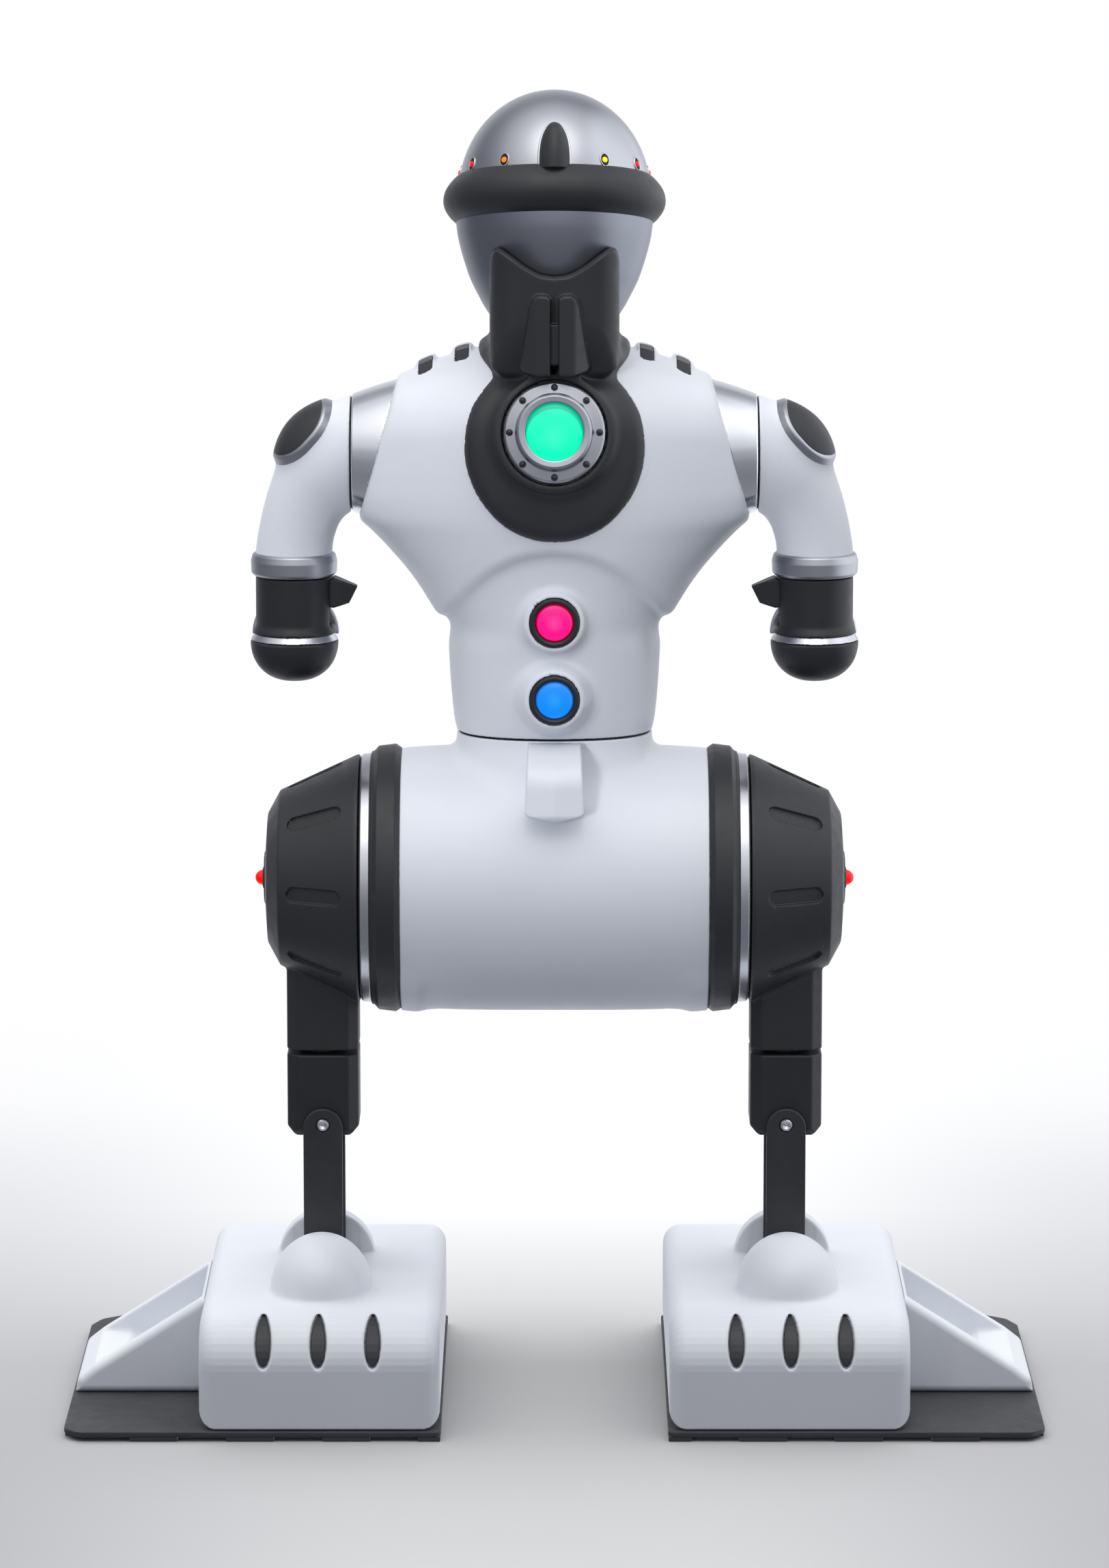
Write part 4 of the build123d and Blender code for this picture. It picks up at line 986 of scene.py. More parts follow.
V, F, Nn = nets(shin_shape, (-86, -17, 38), (-70, 17, 100), 0.42)
sides("shin_fork", (V, F, Nn), BRACKET, "shin", "shin_bracket")
pin = join(lathe(fil([(0, -15.95), (0.8, -15.95), (0.95, -16.55), (1.7, -16.5, 0.3), (2.15, -15.9, 0.2), (2.15, -15.1), (1.48, -15.1), (1.48, 15.1), (2.15, 15.1), (2.15, 15.9, 0.2),
                      (1.7, 16.5, 0.3), (0.95, 16.55), (0.8, 15.95), (0, 15.95)][::-1]), "y", (-LEG, 0, 93.2), 40))
sides("knee_screw", pin, STEEL, "shin", "knee_pin", True)

# ------------------------------------------------------------------------ feet
SIDE = fil([(-76, 3.6, 0.6), (-76, 41.4, 18.0), (72, 41.4, 21.0), (72, 3.6, 0.6)], True, 12)


def foot_block(x, y, z):
    side = poly(y, z, SIDE)
    ends = np.abs(x + 77.95) - 39.95
    return rmax(side, ends, 6.0)


def foot_shape(x, y, z):
    f = foot_block(x, y, z)
    f = np.maximum(f, 3.5 - z)
    f = rmax(f, 3.5 - z, 0.5)
    u = x + LEG
    ball = ellipsoid(u, y, z, (0, -36, 42), (17.1, 20.5, 18.6))
    ball = rmax(ball, y + 16.2, 0.9)
    hump = smin(f, ball, 2.0)
    disc = rmax(np.hypot(u, z - 39.2) - 16.5, np.abs(y - 20.1) - 3.8, 0.9)
    disc = np.maximum(disc, 25 - z)
    f = smin(hump, disc, 1.6)
    well = rbox(u, y, z, (0, 0.0, 53.5), (11.6, 16.2, 20.0), 1.5)
    f = rmax(f, -well, 0.9)
    f = np.maximum(f, -np.maximum(np.hypot(u, z - 45.6) - 3.05, np.abs(y) - 26.4))
    for tx in (-96.4, -78.2, -60.2):
        e = ellipsoid(x, y, z, (tx, -66.0, 32.0), (2.75, 40.0, 7.9))
        lip = np.maximum(e, y + 56)
        depth = foot_block(x, y, z)
        f = rmax(f, -rmax(lip, -(depth + 1.6), 0.2), 0.9)
    f = np.maximum(f, -np.maximum(foot_block(x, y, z) + 3.0, np.maximum(z - 30, -(np.abs(u) * 0 + 1))))
    return f


V, F, Nn = nets(foot_shape, (-119.5, -78, 2), (-36, 74, 64), 0.72)
sides("foot_cover", (V, F, Nn), WHITE2, "foot", "foot_shell")


def toe_shape(x, y, z):
    f = foot_block(x, y, z)
    e = np.full(x.shape, 99.0)
    for tx in (-96.4, -78.2, -60.2):
        e = np.minimum(e, ellipsoid(x, y, z, (tx, -66.0, 32.0), (2.45, 40.0, 7.35)))
    g = rmax(np.maximum(f + 0.55, -(f + 2.6)), e, 0.4)
    return np.maximum(g, y + 56)


V, F, Nn = nets(toe_shape, (-101, -78, 22), (-55, -54, 43), 0.4)
sides("toe_grips", (V, F, Nn), DARK, "foot", "toe_inserts")
apin = lathe(fil([(0, -25.9), (2.95, -25.9, 0.3), (2.95, 26.3, 0.3), (0, 26.3)][::-1]), "y", (-LEG, 0, 45.6), 40)
sides("ankle_shaft", apin, STEEL, "foot", "ankle_pin", True)

WEDGE = fil([(-117.0, 3.45), (-117.0, 36.6), (-119.6, 35.4, 2.0), (-155.6, 12.4, 4.5), (-161.2, 8.0, 3.5), (-161.9, 3.45)], True, 8)
TROUGH = [(-119.4, 70), (-119.4, 9.0), (-139.5, 9.0), (-146.0, 12.2), (-155.0, 12.2), (-158.5, 70)]


def ramp_shape(x, y, z):
    f = rmax(poly(x, z, WEDGE), np.abs(y) - 28.0, 2.6)
    tr = rmax(poly(x, z, TROUGH), np.abs(y) - (21.4 + (z - 9) * 0.03), 1.2)
    deck = (x + 119.6) * 0.5375 - (z - 35.4) * 0.843      # below the sloping rim
    f = rmax(f, -tr, 0.8)
    f = np.maximum(f, 3.45 - z)
    return np.maximum(f, -(foot_block(x, y, z) - 0.05))


V, F, Nn = nets(ramp_shape, (-164, -30, 2), (-115, 30, 39), 0.55)
sides("ramp", (V, F, Nn), WHITE2, "foot", "outrigger")

OUT = [(-37.6, -77.4, 2.0), (-37.6, 77.4, 2.0), (-151.6, 77.4, 5.0), (-159.4, 71.5, 5.0), (-162.7, 63.0, 5.0), (-162.7, -72.6, 6.0), (-158.0, -77.4, 4.0)]
OUTL = fil(OUT, True, 6)


def sole_shape(x, y, z):
    d = poly(x, y, OUTL)
    top = rmax(d, z - 3.4, 0.5)
    top = rmax(top, 1.55 - z, 0.2)
    bars = np.full(x.shape, 99.0)
    for a, b in ((-140.6, -124.8), (-108.7, -92.9), (-76.9, -61.1), (-45.2, -36.0), (-170.0, -156.4)):
        bars = np.minimum(bars, np.maximum(a - x, x - b))
    tread = rmax(np.maximum(d, bars), 0.03 - z, 0.3)
    tread = np.maximum(tread, z - 2.4)
    return np.minimum(top, tread)


def sole_mesh():
    """Plate and bevelled tread bars under it, in mesh code."""
    plate = prism([(p[0], p[1]) for p in fil(OUT, True, 5)], 1.55, 3.4, bevel=0.35)
    parts = [plate]
    for a, b in ((-140.6, -124.8), (-108.7, -92.9), (-76.9, -61.1), (-45.2, -37.8)):
        parts.append(prism([(a, -77.2), (b, -77.2), (b, 77.2), (a, 77.2)], 0.0, 1.9, bevel=0.3))
        n = 9
        for k in range(n):
            pass
    parts.append(prism([(-162.4, -70), (-156.4, -70), (-156.4, 60), (-162.4, 60)], 0.0, 1.9, bevel=0.3))
    return join(*parts)


sides("sole", sole_mesh(), RUBBER, "foot", "sole_plate", True)

# ------------------------------------------------------------------------ arms
OUTER_A = [(-58.0, 344.0), (-63.0, 341.7), (-67.9, 339.3), (-73.3, 336.5), (-78.6, 333.0), (-84.6, 327.8), (-89.0, 322.2), (-92.4, 315.7), (-95.2, 308.6), (-97.3, 301.4),
           (-98.9, 294.0), (-100.0, 286.3), (-100.3, 282.0)]
INNER_A = [(-58.0, 304.2), (-64.0, 302.0), (-67.9, 300.1), (-70.0, 298.6), (-71.8, 296.3), (-73.2, 293.0), (-74.1, 289.5), (-74.35, 286.3), (-74.4, 282.0)]


def dense(pts, m):
    s = np.concatenate([[0], np.cumsum(np.hypot(*np.diff(np.array(pts), axis=0).T))])
    X = hermite(s, [p[0] for p in pts], m)[1]
    Y = hermite(s, [p[1] for p in pts], m)[1]
    return np.stack([X, Y], -1)


_o, _i = dense(OUTER_A, 130), dense(INNER_A, 240)
_tan = np.gradient(_o, axis=0)
_tan /= np.linalg.norm(_tan, axis=1)[:, None]
_nin = np.stack([-_tan[:, 1], _tan[:, 0]], -1)
if (_nin[60] @ (np.array([-80.0, 310.0]) - _o[60])) < 0:
    _nin = -_nin
_lo, _hi = np.full(130, 3.0), np.full(130, 45.0)
for _ in range(50):
    mid = (_lo + _hi) / 2
    c = _o + _nin * mid[:, None]
    dist = np.sqrt(((c[:, None, :] - _i[None]) ** 2).sum(-1)).min(1)
    big = dist > mid
    _lo, _hi = np.where(big, mid, _lo), np.where(big, _hi, mid)
ARM_R = (_lo + _hi) / 2
ARM_C = _o + _nin * ARM_R[:, None]
keep = np.ones(130, bool)


def arm_tube(x, y, z):
    out = np.full(x.shape, 1e9)
    y2 = y * y
    for (cx, cz), r in zip(ARM_C[::2], ARM_R[::2]):
        out = np.minimum(out, np.sqrt((x - cx) ** 2 + y2 + (z - cz) ** 2) - r)
    return out


PAD_C, PAD_N, PAD_T = (-72.6, 316.2), (-0.72, 0.694), (-0.694, -0.72)


def pad_field(x, y, z):
    dx, dz = x - PAD_C[0], z - PAD_C[1]
    nn = dx * PAD_N[0] + dz * PAD_N[1]
    u = dx * PAD_T[0] + dz * PAD_T[1]
    v = 17.6 * np.arctan2(np.abs(y), np.maximum(nn, 0.5))
    n = 2.5
    a, b = 12.6, 14.9
    g = ((np.abs(u) / a) ** n + (v / b) ** n) ** (1 / n) + 1e-6
    gr = np.sqrt(((np.abs(u) / a / g) ** (n - 1) / a) ** 2 + ((v / b / g) ** (n - 1) / b) ** 2)
    d2 = (g - 1) / gr
    return np.where(nn > 4, d2, 40.0), g


def arm_shape(x, y, z):
    t = arm_tube(x, y, z)
    d2, g = pad_field(x, y, z)
    f = t - 1.1 * np.exp(-np.maximum(d2 - 1.2, 0) / 1.7)
    f = rmax(f, x + 67.95, 0.5)
    f = rmax(f, 285.9 - z, 0.3)
    shaft = np.maximum(np.hypot(y, z - 319.8) - 4.95, np.maximum(x + 57.5, -(x + 72)))
    return np.minimum(f, shaft)


V, F, Nn = nets(arm_shape, (-104, -24, 284), (-56, 24, 343), 0.66)
sides("arm_elbow", (V, F, Nn), WHITE, "arm", "arm_shell")


def pad_frame_shape(x, y, z):
    t = arm_tube(x, y, z)
    d2, g = pad_field(x, y, z)
    f = rmax(t - 3.1, (d2 - 0.1 + (t - 3.1) * 0.62) * 0.85, 0.45)
    f = np.maximum(f, -(t + 0.6))
    return rmax(f, -np.maximum(d2 + 1.3, -(t - 1.6)), 0.25)


def pad_shape(x, y, z):
    t = arm_tube(x, y, z)
    d2, g = pad_field(x, y, z)
    top = t - 3.0 - 1.9 * (1 - np.minimum(g, 1.1) ** 2)
    f = rmax(top, d2 + 0.35, 0.7)
    return np.maximum(f, -(t - 0.2))


V, F, Nn = nets(pad_frame_shape, (-102, -22, 304), (-66, 22, 345), 0.5)
sides("pad_frame", (V, F, Nn), SATIN, "arm", ())
V, F, Nn = nets(pad_shape, (-102, -20, 304), (-66, 20, 345), 0.5)
sides("shoulder_cap", (V, F, Nn), DARK, "arm", "shoulder_pad")
WX = -87.2
wr = fil([(6.2, 278.7), (13.4, 278.7, 0.5), (14.3, 279.7, 0.8), (14.45, 283.6, 1.6), (13.9, 285.7, 0.9), (13.0, 286.35, 0.4), (6.2, 286.35)], True)
sides("wrist_band", lathe(wr, "z", (WX, 0, 0), 128, True), SATIN, "arm", "wrist_ring", True)


# ------------------------------------------------------------------------ hands
def hand_shape(x, y, z):
    u = x - WX
    r = np.hypot(u, y)
    R = 12.85 + 1.1 * step(262.6 - z, 0.0, 3.4)
    f = rmax(r - R, z - 278.3, 0.5)
    f = np.maximum(f, 259.2 - z)
    f = rmax(f, -rbox(u, y, z, (12.0, 0, 268.0), (6.4, 4.35, 7.0), 0.8), 0.5)
    hub = np.maximum(r - 5.95, np.maximum(z - 286.0, 270 - z))
    return np.minimum(f, hub)


V, F, Nn = nets(hand_shape, (-104, -16, 257.5), (-70, 16, 287), 0.5)
sides("hand_grip", (V, F, Nn), DARKER, "hand", "hand_body")


def plate_shape(x, y, z):
    """Bright bevel over the palm, and the round plate that rises behind the hand."""
    u = x - WX
    r = np.hypot(u, y)
    bev = rmax(r - (13.2 + (259.4 - z) * 0.62), np.abs(z - 258.15) - 1.25, 0.25)
    disc = rmax(np.hypot(u, (z - 257.2)) - 14.6, np.abs(y - 12.0) - 1.6, 0.6)
    disc = np.maximum(disc, 257.0 - z)
    return np.minimum(bev, disc)


V, F, Nn = nets(plate_shape, (-104, -17, 255.8), (-70, 17, 273), 0.42)
sides("palm_rim", (V, F, Nn), STEEL, "hand", "hand_trim")


def cup_shape(x, y, z):
    u = x - WX
    n = 2.25
    a, b, c = 14.75, 14.4, 14.2
    k = ((np.abs(u) / a) ** n + (np.abs(y) / b) ** n + (np.maximum(257.0 - z, 0) / c) ** n) ** (1 / n) + 1e-6
    f = (k - 1) * 12.5
    return rmax(f, z - 256.8, 0.8)


V, F, Nn = nets(cup_shape, (-104, -17, 240), (-70, 17, 259), 0.55)
sides("palm_cup", (V, F, Nn), DARKER, "hand", "hand_cap")
THUMB = [(-79.4, 268.8), (-79.4, 276.0), (-73.6, 278.0), (-65.9, 274.9), (-68.7, 269.4), (-74.0, 267.8)]


def thumb_shape(x, y, z):
    f = poly(x, z, THUMB)
    f = rmax(f, np.abs(y) - (4.0 - np.maximum(-71.0 - x, 0) * 0.0 - np.maximum(x + 71.5, 0) * 0.30), 0.7)
    pivot = rmax(np.hypot(x + 77.2, z - 271.4) - 3.3, np.abs(y) - 4.05, 0.4)
    f = np.minimum(f, pivot)
    return np.maximum(f, -(np.hypot(x + 77.2, z - 271.4) - 1.28))


V, F, Nn = nets(thumb_shape, (-82.5, -5, 265), (-64, 5, 279), 0.36)
sides("thumb_claw", (V, F, Nn), DARKER, "thumb", "thumb")

# ------------------------------------------------------------------------ head
AD, BD, CD = 31.9, 34.7, 2.0
dome = []
for k in range(49):
    h = 8.0 + (36.7 - 8.0) * k / 48
    dome.append((AD * math.sqrt(max(0, 1 - ((h - CD) / BD) ** 2)), h))
# even steps along the arc
t0 = math.asin((7.6 - CD) / BD)
dome = [(AD * math.cos(t0 + (math.pi / 2 - t0) * k / 60), CD + BD * math.sin(t0 + (math.pi / 2 - t0) * k / 60)) for k in range(61)]
inner_d = [(max(r - 2.0, 0), h - 2.0 * (h - CD) / BD) for r, h in dome][::-1]
piece("dome_cap", lathe(dome + inner_d[1:], "z", (0, 0, 0), 192, False, HM), CHROME, "head", "dome_shell", True)
BR = [(30.5, 8.4), (31.6, 8.25), (33.0, 7.2), (34.4, 5.7), (35.6, 4.1), (36.4, 2.5), (36.8, 0.9), (36.9, -0.5), (36.7, -1.9), (36.2, -3.3), (35.4, -4.6), (34.3, -6.0), (33.2, -7.0),
      (32.6, -7.35), (30.5, -7.2)]
bx = hermite(list(range(len(BR))), [p[0] for p in BR], 70)[1]
bh = hermite(list(range(len(BR))), [p[1] for p in BR], 70)[1]
piece("brim_ring", lathe(list(zip(bx, bh))[::-1], "z", (0, 0, 0), 192, True, HM), DARK, "head", "brim", True)
bow = list(BOWL_S)
stem = [(5.0, -48.8), (5.0, -56.6), (4.6, -57.0), (0, -57.0)]
outer_b = [p for p in bow if p[0] > 5.3]
binner = [(max(r - 2.2, 0), h + 2.0 * (1 - r / 34)) for r, h in bow][::-1]
piece("face_bowl", lathe((outer_b + stem)[::-1] + [], "z", (0, 0, 0), 192, False, HM), BOWL, "head", "head_bowl", True)


def dome_field(hx, hy, hz):
    return ellipsoid(hx, hy, hz, (0, 0, CD), (AD, AD, BD))


def hcrest(hx, hy, hz):
    f = ellipsoid(hx, hy, hz, (0, -27.4, 7.0), (5.7, 8.2, 15.5))
    return f


def crest_head(x, y, z):
    hx, hy, hz = to_head(x, y, z)
    f = hcrest(hx, hy, hz)
    f = np.maximum(f, -(dome_field(hx, hy, hz) + 0.5))
    return rmax(f, 6.6 - hz, 0.3)


def crest_rim(x, y, z):
    hx, hy, hz = to_head(x, y, z)
    d = dome_field(hx, hy, hz)
    f = rmax(hcrest(hx, hy, hz) - 0.42, d - 0.3, 0.15)
    f = np.maximum(f, -(d + 0.5))
    return np.maximum(f, 7.6 - hz)


clo, chi = (-7, -46, 404), (7, -12, 434)
piece("dome_fin", nets(crest_head, clo, chi, 0.42), DARK, "head", "dome_crest")
piece("dome_fin_rim", nets(crest_rim, clo, chi, 0.3), STEEL, "head", ())


def on_dome(az, h):
    """A frame on the dome: origin on the skin, z outward, x level, y up the slope."""
    a = math.radians(-90 + az)
    s = (h - CD) / BD
    r = AD * math.sqrt(1 - s * s)
    p = Vector((r * math.cos(a), r * math.sin(a), h))
    n = Vector((math.cos(a) * r / AD ** 2, math.sin(a) * r / AD ** 2, (h - CD) / BD ** 2)).normalized()
    e1 = Vector((-math.sin(a), math.cos(a), 0))
    e2 = n.cross(e1)
    m = Matrix((e1, e2, n)).transposed().to_4x4()
    m.translation = p
    return HM @ m


def oval_lathe(prof, m, sx, sy, closed=False, seg=48):
    V, F, _ = lathe(prof, "z", (0, 0, 0), seg, closed)
    V = V * np.array([sx, sy, 1])
    M = np.array(m)
    return V @ M[:3, :3].T + M[:3, 3], F, None


reds, orange, yellow, seats, rims = [], [], [], [], []
for az in (32, 61, 90):
    for s in (-1, 1):
        m = on_dome(s * az, 10.2 if az < 80 else 9.2)
        led = oval_lathe([(0, 0.78), (0.40, 0.74), (0.70, 0.60), (0.90, 0.38), (0.97, 0.1), (0.97, -0.6), (0, -0.6)], m, 1, 1, seg=28)
        (reds if az > 40 else orange if s < 0 else yellow).append(led)
        seats.append(oval_lathe(fil([(0, 0.2), (1.4, 0.2), (1.55, 0.14, 0.05), (1.55, -0.8), (0, -0.8)]), m, 1.0, 1.4, seg=40))
        rims.append(oval_lathe(fil([(1.45, 0.1), (1.5, 0.3, 0.08), (1.75, 0.28, 0.12), (1.87, -0.1), (1.85, -0.8), (1.45, -0.8)], True, 3), m, 1.0, 1.38, True, 40))
piece("dome_led_red", join(*reds), RED, "head", "dome_leds", True)
piece("dome_led_orange", join(*orange), ORANGE, "head", (), True)
piece("dome_led_yellow", join(*yellow), YELLOW, "head", (), True)
piece("dome_led_seats", join(*seats), GAP, "head", (), True)
piece("dome_led_rims", join(*rims), STEEL, "head", (), True)

# ------------------------------------------------------------------------ the works inside keep their CAD shape
for names, mat in ((("hip_servos", "shoulder_servos", "waist_spindle"), INNER), (("battery_pack",), WRAP), (("main_board",), BOARD)):
    for n in names:
        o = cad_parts[n]
        o.data.materials.clear()
        o.data.materials.append(mat)

# =====================================================================================
# stage, light, camera
# =====================================================================================
sc = bpy.context.scene
sc.view_settings.view_transform = "Standard"
sc.view_settings.look = "None"

w = bpy.data.worlds.new("studio")
sc.world = w
w.use_nodes = True
t = w.node_tree
t.nodes.clear()
L = t.links.new
tc = t.nodes.new("ShaderNodeTexCoord")
sep = t.nodes.new("ShaderNodeSeparateXYZ")
L(tc.outputs["Generated"], sep.inputs[0])
mp = t.nodes.new("ShaderNodeMapRange")
mp.inputs["From Min"].default_value, mp.inputs["From Max"].default_value = -1.0, 1.0
L(sep.outputs["Z"], mp.inputs["Value"])
ramp = t.nodes.new("ShaderNodeValToRGB")
e = ramp.color_ramp.elements
stops = [(0.0, (0.155, 0.165, 0.205)), (0.30, (0.10, 0.107, 0.135)), (0.50, (0.10, 0.107, 0.13)), (0.60, (0.20, 0.212, 0.245)), (0.70, (0.70, 0.72, 0.76)), (0.80, (1.40, 1.415, 1.44)), (0.90, (1.78, 1.78, 1.78)), (1.0, (1.86, 1.86, 1.86))]
e[0].position, e[0].color = stops[0][0], (*stops[0][1], 1)
e[1].position, e[1].color = stops[-1][0], (*stops[-1][1], 1)
for p, c in stops[1:-1]:
    x = e.new(p)
    x.color = (*c, 1)
L(mp.outputs["Result"], ramp.inputs["Fac"])
bg = t.nodes.new("ShaderNodeBackground")
L(ramp.outputs["Color"], bg.inputs["Color"])
# more of the soft light comes from above and behind than from the front
ms = t.nodes.new("ShaderNodeMapRange")
ms.inputs["From Min"].default_value, ms.inputs["From Max"].default_value = -1.0, 1.0
ms.inputs["To Min"].default_value, ms.inputs["To Max"].default_value = 0.55, 1.45
L(sep.outputs["Y"], ms.inputs["Value"])
L(ms.outputs["Result"], bg.inputs["Strength"])


def towards(direction, stops):
    """Light seen in reflections, by how near the ray runs to one direction."""
    v = Vector(direction).normalized()
    dot = t.nodes.new("ShaderNodeVectorMath")
    dot.operation = "DOT_PRODUCT"
    L(tc.outputs["Generated"], dot.inputs[0])
    dot.inputs[1].default_value = v[:]
    m2 = t.nodes.new("ShaderNodeMapRange")
    m2.inputs["From Min"].default_value, m2.inputs["From Max"].default_value = -1.0, 1.0
    L(dot.outputs["Value"], m2.inputs["Value"])
    r2 = t.nodes.new("ShaderNodeValToRGB")
    r2.color_ramp.interpolation = "EASE"
    q = r2.color_ramp.elements
    q[0].position, q[0].color = (stops[0][0] + 1) / 2, (*stops[0][1], 1)
    q[1].position, q[1].color = (stops[-1][0] + 1) / 2, (*stops[-1][1], 1)
    for d, c in stops[1:-1]:
        y2 = q.new((d + 1) / 2)
        y2.color = (*c, 1)
    L(m2.outputs["Result"], r2.inputs["Fac"])
    return r2.outputs["Color"]


over = towards((0, -math.cos(math.radians(62)), math.sin(math.radians(62))),
               [(-1.0, (0.34, 0.35, 0.38)), (-0.6, (0.22, 0.23, 0.26)), (-0.2, (0.20, 0.21, 0.24)), (0.15, (0.24, 0.25, 0.28)), (0.42, (0.37, 0.38, 0.42)), (0.62, (0.68, 0.70, 0.75)),
                (0.85, (1.05, 1.06, 1.09)), (0.96, (2.1, 2.1, 2.1)), (1.0, (2.6, 2.6, 2.6))])
side = towards((0.94, 0.20, 0.16), [(-1.0, (0, 0, 0)), (0.55, (0, 0, 0)), (0.80, (0.75, 0.77, 0.82)), (1.0, (1.15, 1.17, 1.2))])
low = towards((0.0, 0.97, -0.25), [(-1.0, (0, 0, 0)), (0.45, (0, 0, 0)), (0.85, (0.45, 0.46, 0.48)), (1.0, (0.7, 0.7, 0.72))])


def plus(a, b2):
    n2 = t.nodes.new("ShaderNodeMix")
    n2.data_type, n2.blend_type = "RGBA", "ADD"
    n2.inputs["Factor"].default_value = 1.0
    L(a, n2.inputs[6])
    L(b2, n2.inputs[7])
    return n2.outputs[2]


bgg = t.nodes.new("ShaderNodeBackground")
L(plus(plus(over, side), low), bgg.inputs["Color"])
bgc = t.nodes.new("ShaderNodeBackground")
bgc.inputs["Color"].default_value = (1, 1, 1, 1)
lp = t.nodes.new("ShaderNodeLightPath")
mg = t.nodes.new("ShaderNodeMixShader")
L(lp.outputs["Is Glossy Ray"], mg.inputs[0])
L(bg.outputs[0], mg.inputs[1])
L(bgg.outputs[0], mg.inputs[2])
mx = t.nodes.new("ShaderNodeMixShader")
L(lp.outputs["Is Camera Ray"], mx.inputs[0])
L(mg.outputs[0], mx.inputs[1])
L(bgc.outputs[0], mx.inputs[2])
out = t.nodes.new("ShaderNodeOutputWorld")
L(mx.outputs[0], out.inputs[0])


def area(name, loc, target, size, power, colour=(1, 1, 1), size_y=None):
    d = bpy.data.lights.new(name, "AREA")
    d.energy, d.size, d.color = power, size, colour
    if size_y:
        d.shape, d.size_y = "RECTANGLE", size_y
    o = bpy.data.objects.new(name, d)
    sc.collection.objects.link(o)
    o.location = loc
    o.rotation_mode = "QUATERNION"
    o.rotation_quaternion = (Vector(target) - Vector(loc)).to_track_quat("-Z", "Y")
    return o


front = area("front", (-0.55, -1.5, 0.42), (0, 0, 0.30), 0.34, 0.155, (0.95, 0.97, 1.0))
front.data.spread = math.radians(13)
front.visible_glossy = False

bpy.ops.mesh.primitive_grid_add(x_subdivisions=24, y_subdivisions=24, size=60, location=(0, 0, 0))
floor = bpy.context.object
floor.name = "floor"
m, t, b = shader("floor_with_painted_shade")
t.nodes.clear()
L = t.links.new
tc = t.nodes.new("ShaderNodeTexCoord")
sp = t.nodes.new("ShaderNodeSeparateXYZ")
L(tc.outputs["Object"], sp.inputs[0])


def by(value, lo, hi, stops):
    """A grey ramp over a range of one coordinate."""
    m2 = t.nodes.new("ShaderNodeMapRange")
    m2.inputs["From Min"].default_value, m2.inputs["From Max"].default_value = lo, hi
    L(value, m2.inputs["Value"])
    r2 = t.nodes.new("ShaderNodeValToRGB")
    q = r2.color_ramp.elements
    q[0].position, q[0].color = 0.0, (*stops[0][1], 1)
    q[1].position, q[1].color = 1.0, (*stops[-1][1], 1)
    for d, c in stops[1:-1]:
        y2 = q.new((d - lo) / (hi - lo))
        y2.color = (*c, 1)
    L(m2.outputs["Result"], r2.inputs["Fac"])
    return r2.outputs["Color"]


rad = t.nodes.new("ShaderNodeVectorMath")
rad.operation = "LENGTH"
L(tc.outputs["Object"], rad.inputs[0])
# painted light and shade in the floor colour: both ramps darken towards the front, the middle ramp paints a shadow
# band between the feet near Y = 0.02 and a brighter pool behind, and the side ramp is darker than the middle
edge = by(sp.outputs["Y"], -0.5, 1.0, [(-0.5, (0.50, 0.50, 0.52)), (-0.2, (0.53, 0.53, 0.555)), (0.02, (0.60, 0.60, 0.625)), (0.217, (0.79, 0.79, 0.82)), (0.45, (0.96, 0.96, 0.97)), (0.8, (1, 1, 1)), (1.0, (1, 1, 1))])
mid = by(sp.outputs["Y"], -0.5, 1.0, [(-0.5, (0.80, 0.80, 0.81)), (-0.15, (0.775, 0.775, 0.785)), (-0.067, (0.70, 0.70, 0.705)), (0.02, (0.62, 0.62, 0.62)), (0.114, (0.84, 0.84, 0.845)), (0.25, (1.05, 1.05, 1.05)), (0.6, (1.08, 1.08, 1.08)), (1.0, (1.08, 1.08, 1.08))])
ab = t.nodes.new("ShaderNodeMath")
ab.operation = "ABSOLUTE"
L(sp.outputs["X"], ab.inputs[0])
# blends from the middle ramp to the darker side ramp, painting shade along the sides
wide = t.nodes.new("ShaderNodeMapRange")
wide.interpolation_type = "SMOOTHSTEP"
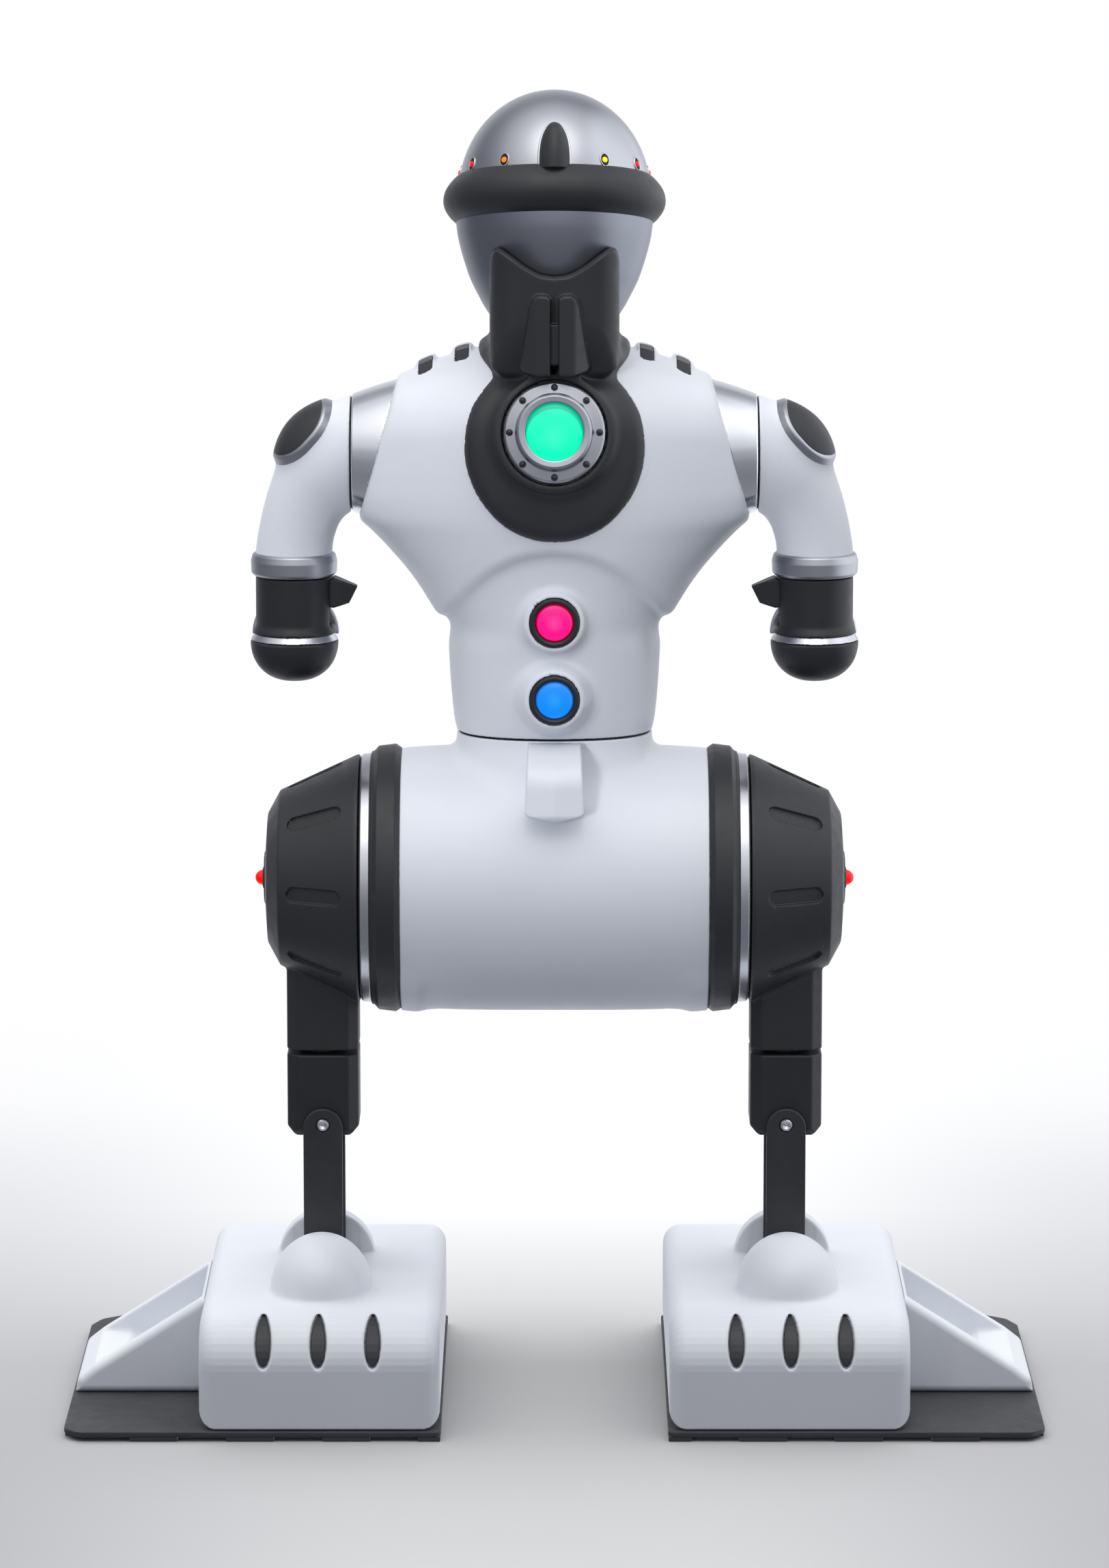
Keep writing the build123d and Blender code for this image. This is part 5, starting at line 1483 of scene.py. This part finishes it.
wide.inputs["From Min"].default_value, wide.inputs["From Max"].default_value = 0.03, 0.24
L(ab.outputs[0], wide.inputs["Value"])
mixc = t.nodes.new("ShaderNodeMix")
mixc.data_type = "RGBA"
L(wide.outputs["Result"], mixc.inputs["Factor"])
L(mid, mixc.inputs[6])
L(edge, mixc.inputs[7])
nz = node(t, "ShaderNodeTexNoise", Scale=6.0, Detail=2.0)
L(tc.outputs["Object"], nz.inputs["Vector"])
tint = t.nodes.new("ShaderNodeMapRange")
tint.inputs["To Min"].default_value, tint.inputs["To Max"].default_value = 0.712, 0.734
L(nz.outputs["Fac"], tint.inputs["Value"])
mul = t.nodes.new("ShaderNodeVectorMath")
mul.operation = "SCALE"
L(mixc.outputs[2], mul.inputs[0])
L(tint.outputs["Result"], mul.inputs["Scale"])
df = t.nodes.new("ShaderNodeBsdfDiffuse")
L(mul.outputs[0], df.inputs["Color"])
em = t.nodes.new("ShaderNodeEmission")
em.inputs["Color"].default_value = (1, 1, 1, 1)
em.inputs["Strength"].default_value = 1.0
mr = t.nodes.new("ShaderNodeMapRange")
mr.interpolation_type = "SMOOTHSTEP"
mr.inputs["From Min"].default_value, mr.inputs["From Max"].default_value = 0.35, 0.75
L(rad.outputs["Value"], mr.inputs["Value"])
mx = t.nodes.new("ShaderNodeMixShader")
L(mr.outputs["Result"], mx.inputs[0])
L(df.outputs[0], mx.inputs[1])
L(em.outputs[0], mx.inputs[2])
out = t.nodes.new("ShaderNodeOutputMaterial")
L(mx.outputs[0], out.inputs["Surface"])
floor.data.materials.append(m)
floor.visible_diffuse = False
floor.visible_glossy = False
floor.visible_transmission = False

cam_d = bpy.data.cameras.new("camera")
cam_d.lens = 153.66
cam_d.sensor_width = 36.0
cam_d.clip_start, cam_d.clip_end = 0.05, 200.0
cam = bpy.data.objects.new("camera", cam_d)
sc.collection.objects.link(cam)
cam.location = (0.0, -2.2198, 0.5988)
cam.rotation_euler = (math.radians(80.0), 0, 0)
sc.camera = cam
